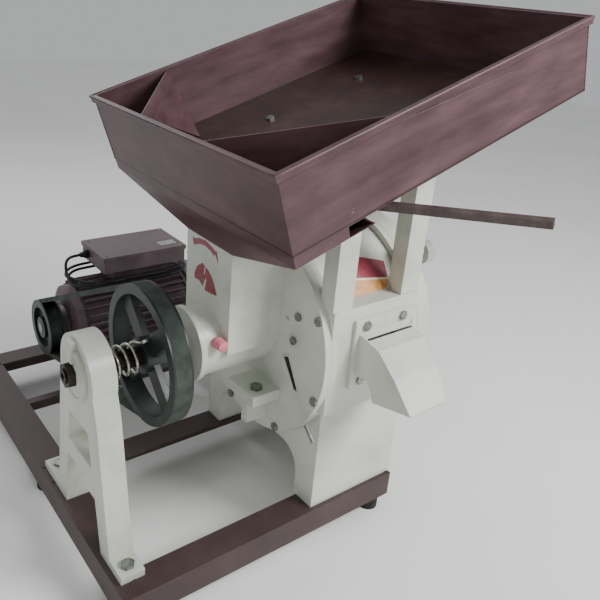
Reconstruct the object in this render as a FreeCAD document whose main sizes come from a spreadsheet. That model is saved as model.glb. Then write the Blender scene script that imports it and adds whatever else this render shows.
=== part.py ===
import FreeCAD, Part
import math
import os
import re
import Sketcher
from FreeCAD import Placement, Rotation, Vector

# Hammer mill: a fabricated base frame carries a cast mill, its outboard bearing pedestal, a
# belt-driven rotor, an electric motor and a sloping feed tray.  X runs along the shaft from the
# pedestal to the chamber door, Y from the outlet side to the motor side, Z up from the floor.

os.makedirs("parts", exist_ok=True)
doc = FreeCAD.newDocument("hammer_mill")
sheet = doc.addObject("Spreadsheet::Sheet", "Dims")
WORD = re.compile(r"[a-z][a-z_0-9]*")
aliases = set()
derived = {}
nodes = []


def sizes(**values):
    """Adds one named row to the sheet for each driving dimension."""
    for alias, value in values.items():
        row = len(aliases) + 1
        sheet.set(f"A{row}", alias.replace("_", " "))
        sheet.set(f"B{row}", str(value))
        sheet.setAlias(f"B{row}", alias)
        aliases.add(alias)


def ex(text):
    """Turns a formula in plain names into an expression on the sheet."""
    def swap(match):
        word = match.group(0)
        if word in derived:
            return "(" + ex(derived[word]) + ")"
        return "Dims." + word if word in aliases else word
    return WORD.sub(swap, str(text))


def num(text):
    return float(sheet.evalExpression(ex(text)))


# ---------------------------------------------------------------------------------- sizes, mm
sizes(frame_length=713, frame_depth=1035, rail_width=65, rail_thickness=6, foot_height=40,
      foot_radius=25, foot_stem_radius=8, middle_rail_front=394, support_bar_front=732,
      support_bar_size=25, support_bar_wall=3)
sizes(shaft_back=230, shaft_height=486, shaft_radius=20, rotor_shoulder=4, running_gap=0.05,
      seat_gap=0.3, bolt_clearance=0.5)
sizes(pedestal_left=12, pedestal_width=51, head_radius=80, leg_spread_top=92, leg_spread_foot=138,
      leg_width=44, shoulder_drop=68, window_top_drop=112, web_top_drop=188, web_bottom_drop=231,
      pedestal_foot_thickness=18, front_foot_reach=190, rear_foot_reach=228)
sizes(cover_radius=58, cover_thickness=8, cover_ring_width=8, cover_boss_radius=26,
      screw_radius=15, screw_reach=26, screw_length=44, nut_flats=46, nut_height=14)
sizes(bearing_outer_radius=40, bearing_outer_bore=33, bearing_inner_radius=27.5,
      bearing_width=18, outboard_bearing_left=36)
sizes(pulley_left=145, pulley_width=42, pulley_radius=150, pulley_rim_depth=21, rim_flange=4,
      hub_radius=38, hub_right=214, pulley_web=14, arm_width=40, key_width=12, key_height=8,
      key_length=52)
sizes(spring_radius=31, spring_wire=3.5, spring_turns=3.5, collar_left=66, collar_width=4,
      collar_radius=36)
sizes(belt_width=33.4, belt_thickness=11.7, motor_back=845, motor_axis_height=265,
      motor_pulley_radius=79, motor_shaft_radius=14, motor_pulley_hub=30)
sizes(housing_left=244, housing_cap=14, housing_cap_radius=83, housing_radius=76,
      shaft_passage_radius=30, cap_bore_gap=1.5, grease_cap_along=284, bearing_left=266,
      bearing_right=404)
sizes(throat_left=300, throat_front=140, throat_rear=315, throat_top=712, throat_floor=556,
      throat_wall=8, mouth_front=168, mouth_rear=292, mouth_top=680)
sizes(plate_left=432, plate_thickness=18, chamber_flange_radius=249, chamber_flange=16,
      chamber_left=450, chamber_right=700, shell_radius=235, chamber_radius=225,
      ledge_front=-10, ledge_left=446, ledge_right=690, ledge_bottom=370, ledge_top=615,
      rear_ledge_back=478, rear_ledge_thickness=35)
sizes(arm_left=360, arm_front=120, arm_bottom=348, arm_height=26, arm_depth=100)
sizes(outlet_left=525, outlet_right=655, outlet_bottom=460, outlet_top=550)
sizes(spout_flange=8, spout_margin=18, spout_wall=5, spout_bend_front=-75, spout_bend_top=542,
      spout_knee_front=-127, spout_knee_top=502, spout_lip_front=-182, spout_lip_top=448,
      spout_heel_front=-78, spout_heel_top=422, spout_mouth_left=520, spout_mouth_right=628)
sizes(stand_left=463, stand_width=250, stand_front=10, stand_wall=12, stand_leg_depth=65,
      stand_rear_leg=56, stand_rear=459, stand_shoulder=369.7,
      stand_rear_top=330, arch_top=222, arch_corner=60)
sizes(strut_width=52, strut_depth=40, strut_wall=6, strut_front=-8, left_strut_left=446,
      right_strut_left=638)
sizes(tray_left=251, tray_base=805, tray_front=-107, tray_slope=18.2, tray_length=789,
      tray_width=674, tray_depth=153, tray_wall=4, rim_width=6, rim_height=14,
      drop_length=168, drop_front=190, drop_rear=480)
sizes(gate_gap=0.3, gate_thickness=5, gate_left=14, gate_length=186, gate_reach=336, lever_size=14,
      pivot_along=157, pivot_across=160, pivot_radius=10, lever_length=442, lever_angle=-66.5,
      funnel_length=180, spacer_height=22, spacer_width=12, funnel_wall=4, lever_slot=60)
sizes(deflector_left_back=185, deflector_wall_back=255, deflector_left_front=250,
      deflector_wall_front=225, deflector_wall=3)
sizes(rotor_disc_radius=150, rotor_disc_thickness=10, rotor_disc_left=478, rotor_disc_pitch=92,
      hammer_pin_circle=125, hammer_pin_radius=8, hammer_width=40, hammer_reach=75,
      hammer_thickness=8, hammer_eye=18, screen_radius=215, screen_wall=3, screen_gap=4,
      screen_seat=8, screen_hole_radius=5, screen_arc=240)
sizes(door_thickness=12, door_rim_height=42, door_rim_width=26, hinge_offset=22,
      hinge_pin_radius=7, hinge_pin_length=150, knuckle_radius=14, knob_radius=26,
      knob_stud_radius=8, knob_reach=44, knob_angle=46, lug_radius=24)
sizes(motor_core_radius=98, fin_height=22, fin_thickness=4, fin_count=32, drive_end_left=196,
      stator_left=240, stator_right=560, fan_cover_right=625, fan_cover_radius=114,
      motor_foot_height=18, motor_foot_spacing=190, motor_foot_width=44, slide_rail_width=40,
      slide_rail_height=48, slide_rail_wall=5, left_slide_rail=300, right_slide_rail=462,
      slide_rail_front=735, box_left=303, box_length=250, box_front=768, box_depth=154,
      box_bottom=425, box_height=44, lid_height=12, box_neck_length=170, box_neck_depth=96)
sizes(cable_radius=4, gland_nose=7, gland_nut=12, gland_reach=24, coil_left=300, coil_right=505,
      coil_bend=74, coil_width=28, coil_height=26, plug_radius=20, plug_length=50)
sizes(small_bolt_radius=6, small_head=5, large_bolt_radius=8, large_head=7)

derived.update(
    rail_top="foot_height + rail_width",
    pedestal_right="pedestal_left + pedestal_width",
    pulley_right="pulley_left + pulley_width",
    groove_radius="pulley_radius - belt_thickness - seat_gap",
    motor_groove_radius="motor_pulley_radius - belt_thickness - seat_gap",
    motor_base="rail_top + slide_rail_height",
    plate_right="plate_left + plate_thickness",
    rotor_shaft_radius="shaft_radius + rotor_shoulder",
    belt_left="pulley_left + (pulley_width - belt_width) / 2",
    rotor_right="rotor_disc_left + 2 * rotor_disc_pitch + rotor_disc_thickness",
    screen_left="rotor_disc_left - 12",
    screen_right="rotor_right + 12",
    screen_seat_radius="screen_radius + 0.2",
    door_left="chamber_right + seat_gap",
    hinge_back="shaft_back + chamber_flange_radius + hinge_offset",
    hinge_line="door_left + door_thickness / 2",
    floor_drop="gate_gap + gate_thickness + lever_size",
    # The whole machine's box is centred on the origin: its left end is the adjusting screw, its
    # right end the tray's lower right edge, its front the lever's tip and its rear the frame.
    left_end="pedestal_left - cover_thickness - screw_reach + 8",
    right_end="tray_left + tray_length * cos(tray_slope)",
    front_end="tray_front + pivot_across + lever_length * sin(lever_angle)"
              " - lever_size / 2 * cos(lever_angle)",
    origin_x="(left_end + right_end) / 2",
    origin_y="(front_end + frame_depth) / 2",
)

doc.recompute()

# ---------------------------------------------------------------------------------- helpers
PLANES = {"XY": "XY_Plane", "XZ": "XZ_Plane", "YZ": "YZ_Plane"}
AXIS_TURN = {"x": Rotation(Vector(0, 1, 0), 90), "y": Rotation(Vector(1, 0, 0), -90),
             "z": Rotation()}


def place(obj, at, local=False, turn=None):
    """Binds an object's place to the sheet, in the machine's frame or in a local one."""
    if turn is not None:
        obj.Placement = Placement(Vector(), turn)
    shift = ("0", "0", "0") if local else ("origin_x", "origin_y", "0")
    for axis, text, back in zip("xyz", at, shift):
        obj.setExpression(f"Placement.Base.{axis}", ex(f"{text} - {back}"))
    return obj


def box(name, size, at, local=False, turn=None):
    obj = doc.addObject("Part::Box", name)
    for side, text in zip(("Length", "Width", "Height"), size):
        obj.setExpression(side, ex(text))
    return place(obj, at, local, turn)


def rod(name, radius, length, at, axis="z", local=False):
    obj = doc.addObject("Part::Cylinder", name)
    obj.setExpression("Radius", ex(radius))
    obj.setExpression("Height", ex(length))
    return place(obj, at, local, AXIS_TURN[axis])


def hexagon(name, flats, height, at, axis="z", local=False):
    obj = doc.addObject("Part::Prism", name)
    obj.Polygon = 6
    obj.setExpression("Circumradius", ex(f"({flats}) / sqrt(3)"))
    obj.setExpression("Height", ex(height))
    return place(obj, at, local, AXIS_TURN[axis])


def join(name, shapes):
    obj = doc.addObject("Part::MultiFuse", name)
    obj.Shapes = shapes
    return obj


def cut(name, base, tools, refine=True):
    obj = doc.addObject("Part::Cut", name)
    obj.Refine = refine
    obj.Base = base
    obj.Tool = tools[0] if len(tools) == 1 else join(name + "_tools", tools)
    return obj


def group(name, shapes):
    obj = doc.addObject("Part::Compound", name)
    obj.Links = shapes
    return obj


def node(name, obj):
    """Names a finished sub-part; its file takes the same name."""
    obj.Label = name
    nodes.append(obj)
    return obj


def body(name, at=("0", "0", "0"), local=False, turn=None):
    obj = doc.addObject("PartDesign::Body", name)
    return place(obj, at, local, turn)


def plane_of(part_body, plane):
    for feature in part_body.Origin.OriginFeatures:
        if feature.Role == PLANES[plane]:
            return feature
    raise ValueError(plane)


def new_sketch(part_body, plane):
    sketch = part_body.newObject("Sketcher::SketchObject", part_body.Name + "_sketch")
    sketch.AttachmentSupport = [(plane_of(part_body, plane), "")]
    sketch.MapMode = "FlatFace"
    return sketch


def bind(sketch, kind, geometry, point, text):
    index = sketch.addConstraint(Sketcher.Constraint(kind, -1, 1, geometry, point, num(text)))
    sketch.setExpression(f"Constraints[{index}]", ex(text))


def outline(sketch, points):
    """Draws a closed polygon whose corners are bound to the sheet."""
    flat = [Vector(num(across), num(up), 0) for across, up in points]
    first = sketch.GeometryCount
    count = len(points)
    for index in range(count):
        line = Part.LineSegment(flat[index], flat[(index + 1) % count])
        sketch.addGeometry(line, False)
    for index in range(count):
        following = first + (index + 1) % count
        sketch.addConstraint(Sketcher.Constraint("Coincident", first + index, 2, following, 1))
    for index, (across, up) in enumerate(points):
        bind(sketch, "DistanceX", first + index, 1, across)
        bind(sketch, "DistanceY", first + index, 1, up)


def ring(sketch, across, up, radius):
    """Draws a circle bound to the sheet."""
    centre = Vector(num(across), num(up), 0)
    index = sketch.addGeometry(Part.Circle(centre, Vector(0, 0, 1), num(radius)), False)
    bind(sketch, "DistanceX", index, 3, across)
    bind(sketch, "DistanceY", index, 3, up)
    bound = sketch.addConstraint(Sketcher.Constraint("Radius", index, num(radius)))
    sketch.setExpression(f"Constraints[{bound}]", ex(radius))


def pad(part_body, plane, length, points=(), circles=(), back=False):
    sketch = new_sketch(part_body, plane)
    if points:
        outline(sketch, points)
    for circle in circles:
        ring(sketch, *circle)
    feature = part_body.newObject("PartDesign::Pad", part_body.Name + "_pad")
    feature.Profile = sketch
    feature.setExpression("Length", ex(length))
    feature.Reversed = back
    return feature


def pocket(part_body, plane, points=(), circles=()):
    """Cuts a sketched opening right through the body."""
    sketch = new_sketch(part_body, plane)
    if points:
        outline(sketch, points)
    for circle in circles:
        ring(sketch, *circle)
    before = part_body.Tip
    feature = part_body.newObject("PartDesign::Pocket", part_body.Name + "_pocket")
    feature.Profile = sketch
    feature.Type = "ThroughAll"
    feature.Midplane = True
    doc.recompute()
    if feature.Shape.Volume >= before.Shape.Volume:
        raise RuntimeError(part_body.Name + ": a pocket cuts nothing")
    return feature


def turned(name, points, at, turn=None):
    """A body of revolution about its own X axis; points are (along, radius)."""
    part_body = body(name, at, turn=turn)
    sketch = new_sketch(part_body, "XZ")
    outline(sketch, points)
    feature = part_body.newObject("PartDesign::Revolution", name + "_turn")
    feature.Profile = sketch
    feature.ReferenceAxis = (sketch, ["H_Axis"])
    feature.Angle = 360
    return part_body


def feature(name, shape, at=None, turn=None):
    """A free-form piece: the shape first, then its place."""
    obj = doc.addObject("Part::Feature", name)
    obj.Shape = shape
    if at is not None:
        place(obj, at, turn=turn)
    return obj


def round_tube(points, radius):
    """A round tube along straight runs joined by tangent arcs, through the points' corners."""
    corners = [Vector(*point) for point in points]
    edges = []
    start = corners[0]
    for before, corner, after in zip(corners, corners[1:], corners[2:]):
        inward = (corner - before).normalize()
        onward = (after - corner).normalize()
        half_turn = inward.getAngle(onward) / 2
        tangent = RUN_SHARE * min(corner.distanceToPoint(before), corner.distanceToPoint(after))
        bend = tangent / math.tan(half_turn)
        arc_start = corner - inward * tangent
        arc_end = corner + onward * tangent
        middle = (onward - inward).normalize() * (bend / math.cos(half_turn) - bend)
        edges.append(Part.LineSegment(start, arc_start).toShape())
        edges.append(Part.Arc(arc_start, corner + middle, arc_end).toShape())
        start = arc_end
    edges.append(Part.LineSegment(start, corners[-1]).toShape())
    path = Part.Wire(edges)
    heading = (corners[1] - corners[0]).normalize()
    section = Part.Wire([Part.Circle(corners[0], heading, radius).toShape()])
    tube = path.makePipeShell([section], True, False)
    wanted = math.pi * radius ** 2 * path.Length
    print("tube length", round(path.Length, 1), "volume share", round(tube.Volume / wanted, 4))
    return tube


RUN_SHARE = 0.45  # part of the shorter run that an arc takes at each end
SHAFT = ("0", "shaft_back", "shaft_height")
MOTOR_AXIS = ("0", "motor_back", "motor_axis_height")
TRAY_PLACE = ("tray_left", "tray_front", "tray_base")


def on_shaft(along):
    return (along, "shaft_back", "shaft_height")


def tilt(obj):
    """Lays a piece modelled on a level floor along the sloping tray."""
    obj.Placement = Placement(Vector(), Rotation(Vector(0, -1, 0), num("tray_slope")))
    obj.setExpression("Placement.Rotation.Angle", ex("tray_slope"))
    return place(obj, TRAY_PLACE)


def capped_bolt(name, radius, head, shank, at, axis="z", local=False, down=True):
    """A hexagon-head bolt; at is the seat under its head, the shank runs back along the axis."""
    x, y, z = at
    back = {"x": (f"{x} - ({shank})", y, z), "y": (x, f"{y} - ({shank})", z),
            "z": (x, y, f"{z} - ({shank})")}[axis]
    stem = rod(name + "_shank", radius, shank, back if down else at, axis, local)
    seat = {"x": (f"{x} - ({head})", y, z), "y": (x, f"{y} - ({head})", z),
            "z": (x, y, f"{z} - ({head})")}[axis]
    top = hexagon(name + "_head", f"{radius} * 3.2", head, at if down else seat, axis, local)
    return join(name, [stem, top])


# ---------------------------------------------------------------------------------- base frame
# Rails are equal angle: the flange is on top and the other leg hangs on the outside.
def angle_rail(name, length, at, turn, mitred=True, holes=()):
    rail = body(name, at, turn=Rotation(Vector(0, 0, 1), turn))
    pad(rail, "YZ", length, [
        ("0", "foot_height"), ("rail_thickness", "foot_height"),
        ("rail_thickness", "rail_top - rail_thickness"), ("rail_width", "rail_top - rail_thickness"),
        ("rail_width", "rail_top"), ("0", "rail_top")])
    if mitred:
        over = "rail_width + 5"
        pocket(rail, "XY", [("0", "0"), (over, over), ("0", over)])
        pocket(rail, "XY", [(length, "0"), (length, over), (f"{length} - ({over})", over)])
    if holes:
        pocket(rail, "XY", circles=[(along, across, "large_bolt_radius + bolt_clearance")
                                    for along, across in holes])
    return node(name, rail)


stand_bolt_columns = ("stand_left + 40", "stand_left + stand_width - 75")
front_stand_bolt = "stand_front + stand_leg_depth / 2"
rear_stand_bolt = "stand_rear - stand_rear_leg / 2"
pedestal_bolt_column = "pedestal_left + pedestal_width / 2"
pedestal_bolt_rows = ("shaft_back - front_foot_reach + 24", "shaft_back + rear_foot_reach - 28")
angle_rail("front_rail", "frame_length", ("0", "0", "0"), 0,
           holes=[(column, front_stand_bolt) for column in stand_bolt_columns])
angle_rail("right_rail", "frame_depth", ("frame_length", "0", "0"), 90)
angle_rail("rear_rail", "frame_length", ("frame_length", "frame_depth", "0"), 180)
angle_rail("left_rail", "frame_depth", ("0", "frame_depth", "0"), -90,
           holes=[(f"frame_depth - ({row})", pedestal_bolt_column) for row in pedestal_bolt_rows])
angle_rail("middle_rail", "frame_length - 2 * rail_width",
           ("frame_length - rail_width", "middle_rail_front + rail_width", "0"), 180, mitred=False,
           holes=[(f"frame_length - rail_width - ({column})",
                   f"middle_rail_front + rail_width - ({rear_stand_bolt})")
                  for column in stand_bolt_columns])

bar_outer = box("support_bar_outer", ("frame_length - 2 * rail_width", "support_bar_size",
                                      "support_bar_size"),
                ("rail_width", "support_bar_front", "rail_top - support_bar_size"))
bar_inner = box("support_bar_inner", ("frame_length", "support_bar_size - 2 * support_bar_wall",
                                      "support_bar_size - 2 * support_bar_wall"),
                ("0", "support_bar_front + support_bar_wall",
                 "rail_top - support_bar_size + support_bar_wall"))
node("motor_support_bar", cut("motor_support_bar", bar_outer, [bar_inner]))

foot_columns = ("rail_width / 2", "frame_length - rail_width / 2")
foot_rows = ("rail_width / 2", "frame_depth / 2", "frame_depth - rail_width / 2")
pads = []
stems = []
for column, foot_x in enumerate(foot_columns):
    for row, foot_y in enumerate(foot_rows):
        tag = f"{column}{row}"
        pads.append(rod("foot_pad_" + tag, "foot_radius", "foot_height", (foot_x, foot_y, "0")))
        stems.append(rod("foot_stem_" + tag, "foot_stem_radius",
                         "rail_width - rail_thickness", (foot_x, foot_y, "foot_height")))
node("frame_feet", group("frame_feet", pads))

# ------------------------------------------------------------------- outboard bearing pedestal
# An A-shaped casting standing on the left rail: a round head, two splayed legs, a cross web
# between two windows, and a bolted foot under each leg.  Y and Z below are taken from the shaft.
foot_level = "rail_top - shaft_height"
pedestal = body("pedestal_casting", on_shaft("pedestal_left"))
pad(pedestal, "YZ", "pedestal_width", circles=[("0", "0", "head_radius")])
pad(pedestal, "YZ", "pedestal_width", [
    ("-leg_spread_top", "-shoulder_drop"), ("-0.9 * head_radius", "0"), ("0.9 * head_radius", "0"),
    ("leg_spread_top", "-shoulder_drop"), ("leg_spread_foot", foot_level),
    ("-leg_spread_foot", foot_level)])
pocket(pedestal, "YZ", [
    ("-(leg_spread_top - leg_width)", "-window_top_drop"),
    ("leg_spread_top - leg_width", "-window_top_drop"),
    ("leg_spread_top - leg_width + 12", "-web_top_drop"),
    ("-(leg_spread_top - leg_width + 12)", "-web_top_drop")])
pocket(pedestal, "YZ", [
    ("-(leg_spread_top - leg_width + 20)", "-web_bottom_drop"),
    ("leg_spread_top - leg_width + 20", "-web_bottom_drop"),
    ("leg_spread_foot - leg_width", foot_level + " - 5"),
    ("-(leg_spread_foot - leg_width)", foot_level + " - 5")])
pad(pedestal, "YZ", "pedestal_width", [
    ("-front_foot_reach", foot_level), ("-(leg_spread_foot - leg_width)", foot_level),
    ("-(leg_spread_foot - leg_width) - 1", foot_level + " + pedestal_foot_thickness"),
    ("-front_foot_reach", foot_level + " + pedestal_foot_thickness")])
pad(pedestal, "YZ", "pedestal_width", [
    ("rear_foot_reach", foot_level), ("leg_spread_foot - leg_width", foot_level),
    ("leg_spread_foot - leg_width + 1", foot_level + " + pedestal_foot_thickness"),
    ("rear_foot_reach", foot_level + " + pedestal_foot_thickness")])
# The bearing seat is bored through; the web behind the cover is left thicker by the cut below.
seat = rod("pedestal_seat", "bearing_outer_radius", "pedestal_width + 2",
           on_shaft("pedestal_left - 1"), "x")
foot_holes = [rod(f"pedestal_hole_{index}", "large_bolt_radius + bolt_clearance", "60",
                  (pedestal_bolt_column, row, "rail_top - 20"))
              for index, row in enumerate(pedestal_bolt_rows)]
node("bearing_pedestal", cut("bearing_pedestal", pedestal, [seat] + foot_holes))

# The cover closes the seat: a turned disc with a raised rim, a boss and a cast lug on its face.
cover = turned("pedestal_cover_disc", [
    ("0", "screw_radius + running_gap"), ("0", "bearing_outer_radius - 0.2"),
    ("-0", "cover_radius"), ("-cover_thickness", "cover_radius"),
    ("-cover_thickness", "cover_radius - cover_ring_width"),
    ("-cover_thickness + 3", "cover_radius - cover_ring_width - 2"),
    ("-cover_thickness + 3", "cover_boss_radius + 6"),
    ("-cover_thickness", "cover_boss_radius"), ("-cover_thickness", "screw_radius + running_gap")],
    on_shaft("pedestal_left"))
lug = box("cover_lug", ("cover_thickness + 6", "26", "43"),
          ("pedestal_left - cover_thickness - 6", "shaft_back - 13",
           "shaft_height + screw_radius + 14"))
node("pedestal_cover", join("pedestal_cover", [cover, lug]))

screw_left = "pedestal_left - cover_thickness - screw_reach + 8"
screw_stem = rod("screw_stem", "screw_radius", "screw_length", on_shaft(screw_left), "x")
screw_flat = hexagon("screw_drive", "14", "8", on_shaft(screw_left + " - 1"), "x")
node("adjusting_screw", cut("adjusting_screw", screw_stem, [screw_flat]))
nut_blank = hexagon("nut_blank", "nut_flats", "nut_height",
                    on_shaft("pedestal_left - cover_thickness - nut_height - seat_gap"), "x")
nut_hole = rod("nut_hole", "screw_radius", "nut_height + 4",
               on_shaft("pedestal_left - cover_thickness - nut_height - 2"), "x")
node("lock_nut", cut("lock_nut", nut_blank, [nut_hole]))


def bearing_rings(name, outer, inner):
    rings = []
    lefts = ("outboard_bearing_left", "bearing_left", "bearing_right")
    for index, left in enumerate(lefts):
        blank = rod(f"{name}_blank_{index}", outer, "bearing_width", on_shaft(left), "x")
        bore = rod(f"{name}_bore_{index}", inner, "bearing_width + 2", on_shaft(left + " - 1"), "x")
        rings.append(cut(f"{name}_ring_{index}", blank, [bore]))
    return node(name, group(name, rings))


# One sealed bearing sits in the pedestal and two in the feed end casting.
bearing_rings("bearing_outer_rings", "bearing_outer_radius", "bearing_inner_radius + running_gap")
bearing_rings("bearing_inner_rings", "bearing_inner_radius", "shaft_radius")

# ---------------------------------------------------------------------------- shaft and pulley
# The shaft steps up inside the chamber, where the rotor discs sit, and has a spring collar.
shaft_left = "outboard_bearing_left - 1"
shaft_end = "chamber_right - 6"
shaft_body = turned("main_shaft_body", [
    (shaft_left, "0"), (shaft_left, "shaft_radius - 2"), (shaft_left + " + 2", "shaft_radius"),
    ("collar_left", "shaft_radius"), ("collar_left", "collar_radius"),
    ("collar_left + collar_width", "collar_radius"), ("collar_left + collar_width", "shaft_radius"),
    ("plate_right + 4", "shaft_radius"), ("plate_right + 4", "rotor_shaft_radius"),
    (shaft_end, "rotor_shaft_radius"), (shaft_end, "0")], SHAFT)
key_left = "(pulley_left + hub_right - key_length) / 2"


def key_block(name, width):
    return box(name, ("key_length", width, "key_height"),
               (key_left, f"shaft_back - ({width}) / 2",
                "shaft_height + shaft_radius - key_height / 2"))


node("main_shaft", cut("main_shaft", shaft_body, [key_block("shaft_keyway", "key_width")]))
node("pulley_key", key_block("pulley_key", "key_width"))


def grooved_pulley(name, left, axis_at, radius, groove, hub, hub_end, bore, arms):
    """A pulley with two rim flanges, a belt groove, a thin web or arms, and a hub."""
    inner = f"{radius} - pulley_rim_depth"
    web_left = f"{left} + (pulley_width - pulley_web) / 2"
    rim = turned(name + "_rim", [
        (left, inner), (left, radius), (f"{left} + rim_flange", radius),
        (f"{left} + rim_flange", groove), (f"{left} + pulley_width - rim_flange", groove),
        (f"{left} + pulley_width - rim_flange", radius), (f"{left} + pulley_width", radius),
        (f"{left} + pulley_width", inner)], axis_at)
    spokes = []
    if arms:
        for index in range(arms):
            spoke = box(f"{name}_arm_{index}", ("pulley_web", "arm_width", f"{inner} + 1"),
                        ("0", "-arm_width / 2", "0"), local=True)
            turned_spoke = doc.addObject("Part::Compound", f"{name}_arm_turned_{index}")
            turned_spoke.Links = [spoke]
            turn = Rotation(Vector(1, 0, 0), 45 + index * 360 / arms)
            spokes.append(place(turned_spoke, (web_left, axis_at[1], axis_at[2]), turn=turn))
    else:
        spokes.append(rod(name + "_web", f"{inner} + 1", "pulley_web",
                          (web_left, axis_at[1], axis_at[2]), "x"))
    middle = rod(name + "_hub", hub, f"{hub_end} - ({left})", (left, axis_at[1], axis_at[2]), "x")
    whole = join(name + "_blank", [rim, middle] + spokes)
    hole = rod(name + "_bore", bore, f"{hub_end} - ({left}) + 2",
               (f"{left} - 1", axis_at[1], axis_at[2]), "x")
    return whole, hole


wheel, wheel_bore = grooved_pulley("drive_pulley", "pulley_left", SHAFT, "pulley_radius",
                                   "groove_radius", "hub_radius", "hub_right", "shaft_radius", 4)
node("drive_pulley", cut("drive_pulley", wheel,
                         [wheel_bore, key_block("hub_keyway", "key_width")]))

small_wheel, small_bore = grooved_pulley(
    "motor_pulley", "pulley_left", MOTOR_AXIS, "motor_pulley_radius", "motor_groove_radius",
    "motor_pulley_hub", "pulley_right", "motor_shaft_radius", 0)
node("motor_pulley", cut("motor_pulley", small_wheel, [small_bore]))

# The spring pushes the rotor away from the pedestal: a round-wire coil whose last end turns
# outward past the hub and hooks in between the pulley's arms.
SPRING_CORNERS = 8  # per turn
spring_span = num("pulley_left - collar_left - collar_width - 2 * spring_wire - 0.8")
corner_radius = num("spring_radius") / math.cos(math.pi / SPRING_CORNERS)
corner_count = int(SPRING_CORNERS * num("spring_turns"))
spring_path = []
for index in range(corner_count + 1):
    angle = 2 * math.pi * index / SPRING_CORNERS
    spring_path.append((corner_radius * math.cos(angle), corner_radius * math.sin(angle),
                        spring_span * index / corner_count))
hook_radius = num("hub_radius + 3 * spring_wire")
spring_path.append((-hook_radius, -corner_radius * 0.7, spring_span))
spring_path.append((-hook_radius, -corner_radius * 0.9, spring_span + num("3 * spring_wire")))
node("thrust_spring", feature("thrust_spring", round_tube(spring_path, num("spring_wire")),
                              on_shaft("collar_left + collar_width + spring_wire + 0.4"),
                              AXIS_TURN["x"]))


# ------------------------------------------------------------------------------------- belt
def belt_loop(inset):
    """The outline of an open belt round both pulleys, drawn in the YZ plane from the shaft."""
    big = num("pulley_radius") - inset
    small = num("motor_pulley_radius") - inset
    across = num("motor_back - shaft_back")
    rise = num("motor_axis_height - shaft_height")
    spacing = math.hypot(across, rise)
    line = math.atan2(rise, across)
    wrap = math.acos((big - small) / spacing)
    upper, lower = line + wrap, line - wrap

    def at(radius, angle, far):
        return Vector(0, far * across + radius * math.cos(angle), far * rise + radius * math.sin(angle))
    back = line + math.pi
    edges = [Part.Arc(at(big, upper, 0), at(big, back, 0), at(big, lower, 0)).toShape(),
             Part.LineSegment(at(big, lower, 0), at(small, lower, 1)).toShape(),
             Part.Arc(at(small, lower, 1), at(small, line, 1), at(small, upper, 1)).toShape(),
             Part.LineSegment(at(small, upper, 1), at(big, upper, 0)).toShape()]
    return Part.Face(Part.Wire(edges))


belt_width = Vector(num("belt_width"), 0, 0)
loop = belt_loop(0).extrude(belt_width).cut(belt_loop(num("belt_thickness")).extrude(belt_width))
node("drive_belt", feature("drive_belt", loop, on_shaft("belt_left")))

# ------------------------------------------------------------------------- feed end casting
# One casting closes the chamber's left side and carries the rotor bearings and the feed throat.
end_plate = rod("end_plate", "chamber_flange_radius", "plate_thickness", on_shaft("plate_left"), "x")
housing = rod("bearing_housing", "housing_radius", "plate_left - housing_left - housing_cap + 2",
              on_shaft("housing_left + housing_cap"), "x")
throat = box("throat_block", ("plate_left - throat_left + 2", "throat_rear - throat_front",
                              "throat_top - shaft_height"),
             ("throat_left", "throat_front", "shaft_height"))
arm_bolt_along, arm_bolt_back = "arm_left + 28", "arm_front + 30"
arm = box("arm_block", ("plate_left - arm_left + 2", "arm_depth", "arm_height"),
          ("arm_left", "arm_front", "arm_bottom"))
arm_rib = box("arm_rib", ("60", "20", "70"), ("plate_left - 58", "160", "280"))
spigot = rod("spigot", "screen_seat_radius - seat_gap", "4", on_shaft("plate_right - 1"), "x")
solid_end = join("feed_end_solid", [end_plate, housing, throat, arm, arm_rib, spigot])
throat_space = box("throat_space", ("plate_left - throat_left - 2 * throat_wall",
                                    "throat_rear - throat_front - 2 * throat_wall", "300"),
                   ("throat_left + throat_wall", "throat_front + throat_wall", "throat_floor + 14"))
mouth = box("mouth", ("80", "mouth_rear - mouth_front", "mouth_top - throat_floor - 14"),
            ("plate_left - 30", "mouth_front", "throat_floor + 14"))
bore = rod("housing_bore", "bearing_outer_radius", "bearing_right + bearing_width - housing_left",
           on_shaft("housing_left"), "x")
passage = rod("shaft_passage", "shaft_passage_radius", "90", on_shaft("plate_left - 30"), "x")
arm_hole = rod("arm_hole", "large_bolt_radius + bolt_clearance", "60",
               (arm_bolt_along, arm_bolt_back, "arm_bottom - 18"))
cap_flat = rod("cap_hole", "6", "30",
               ("grease_cap_along", "shaft_back - housing_radius - 4", "shaft_height + 30"),
               "y")


def bolt_circle(count, radius, start):
    """Bolt centres on a circle about the shaft, as (across, up) texts."""
    for index in range(count):
        angle = start + index * 360 / count
        yield (f"shaft_back + ({radius}) * cos({angle})", f"shaft_height + ({radius}) * sin({angle})")


# Eight places with one left empty, where the throat stands in front of the flange.
plate_ring = [place for index, place in enumerate(bolt_circle(8, "chamber_flange_radius - 9", 19))
              if index != 2]
plate_holes = [rod(f"plate_hole_{index}", "small_bolt_radius + bolt_clearance", "60",
                   ("plate_left - 10", across, up), "x")
               for index, (across, up) in enumerate(plate_ring)]
node("feed_end_casting", cut("feed_end_casting", solid_end,
                             [throat_space, mouth, bore, passage, arm_hole, cap_flat]
                             + plate_holes))

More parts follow.
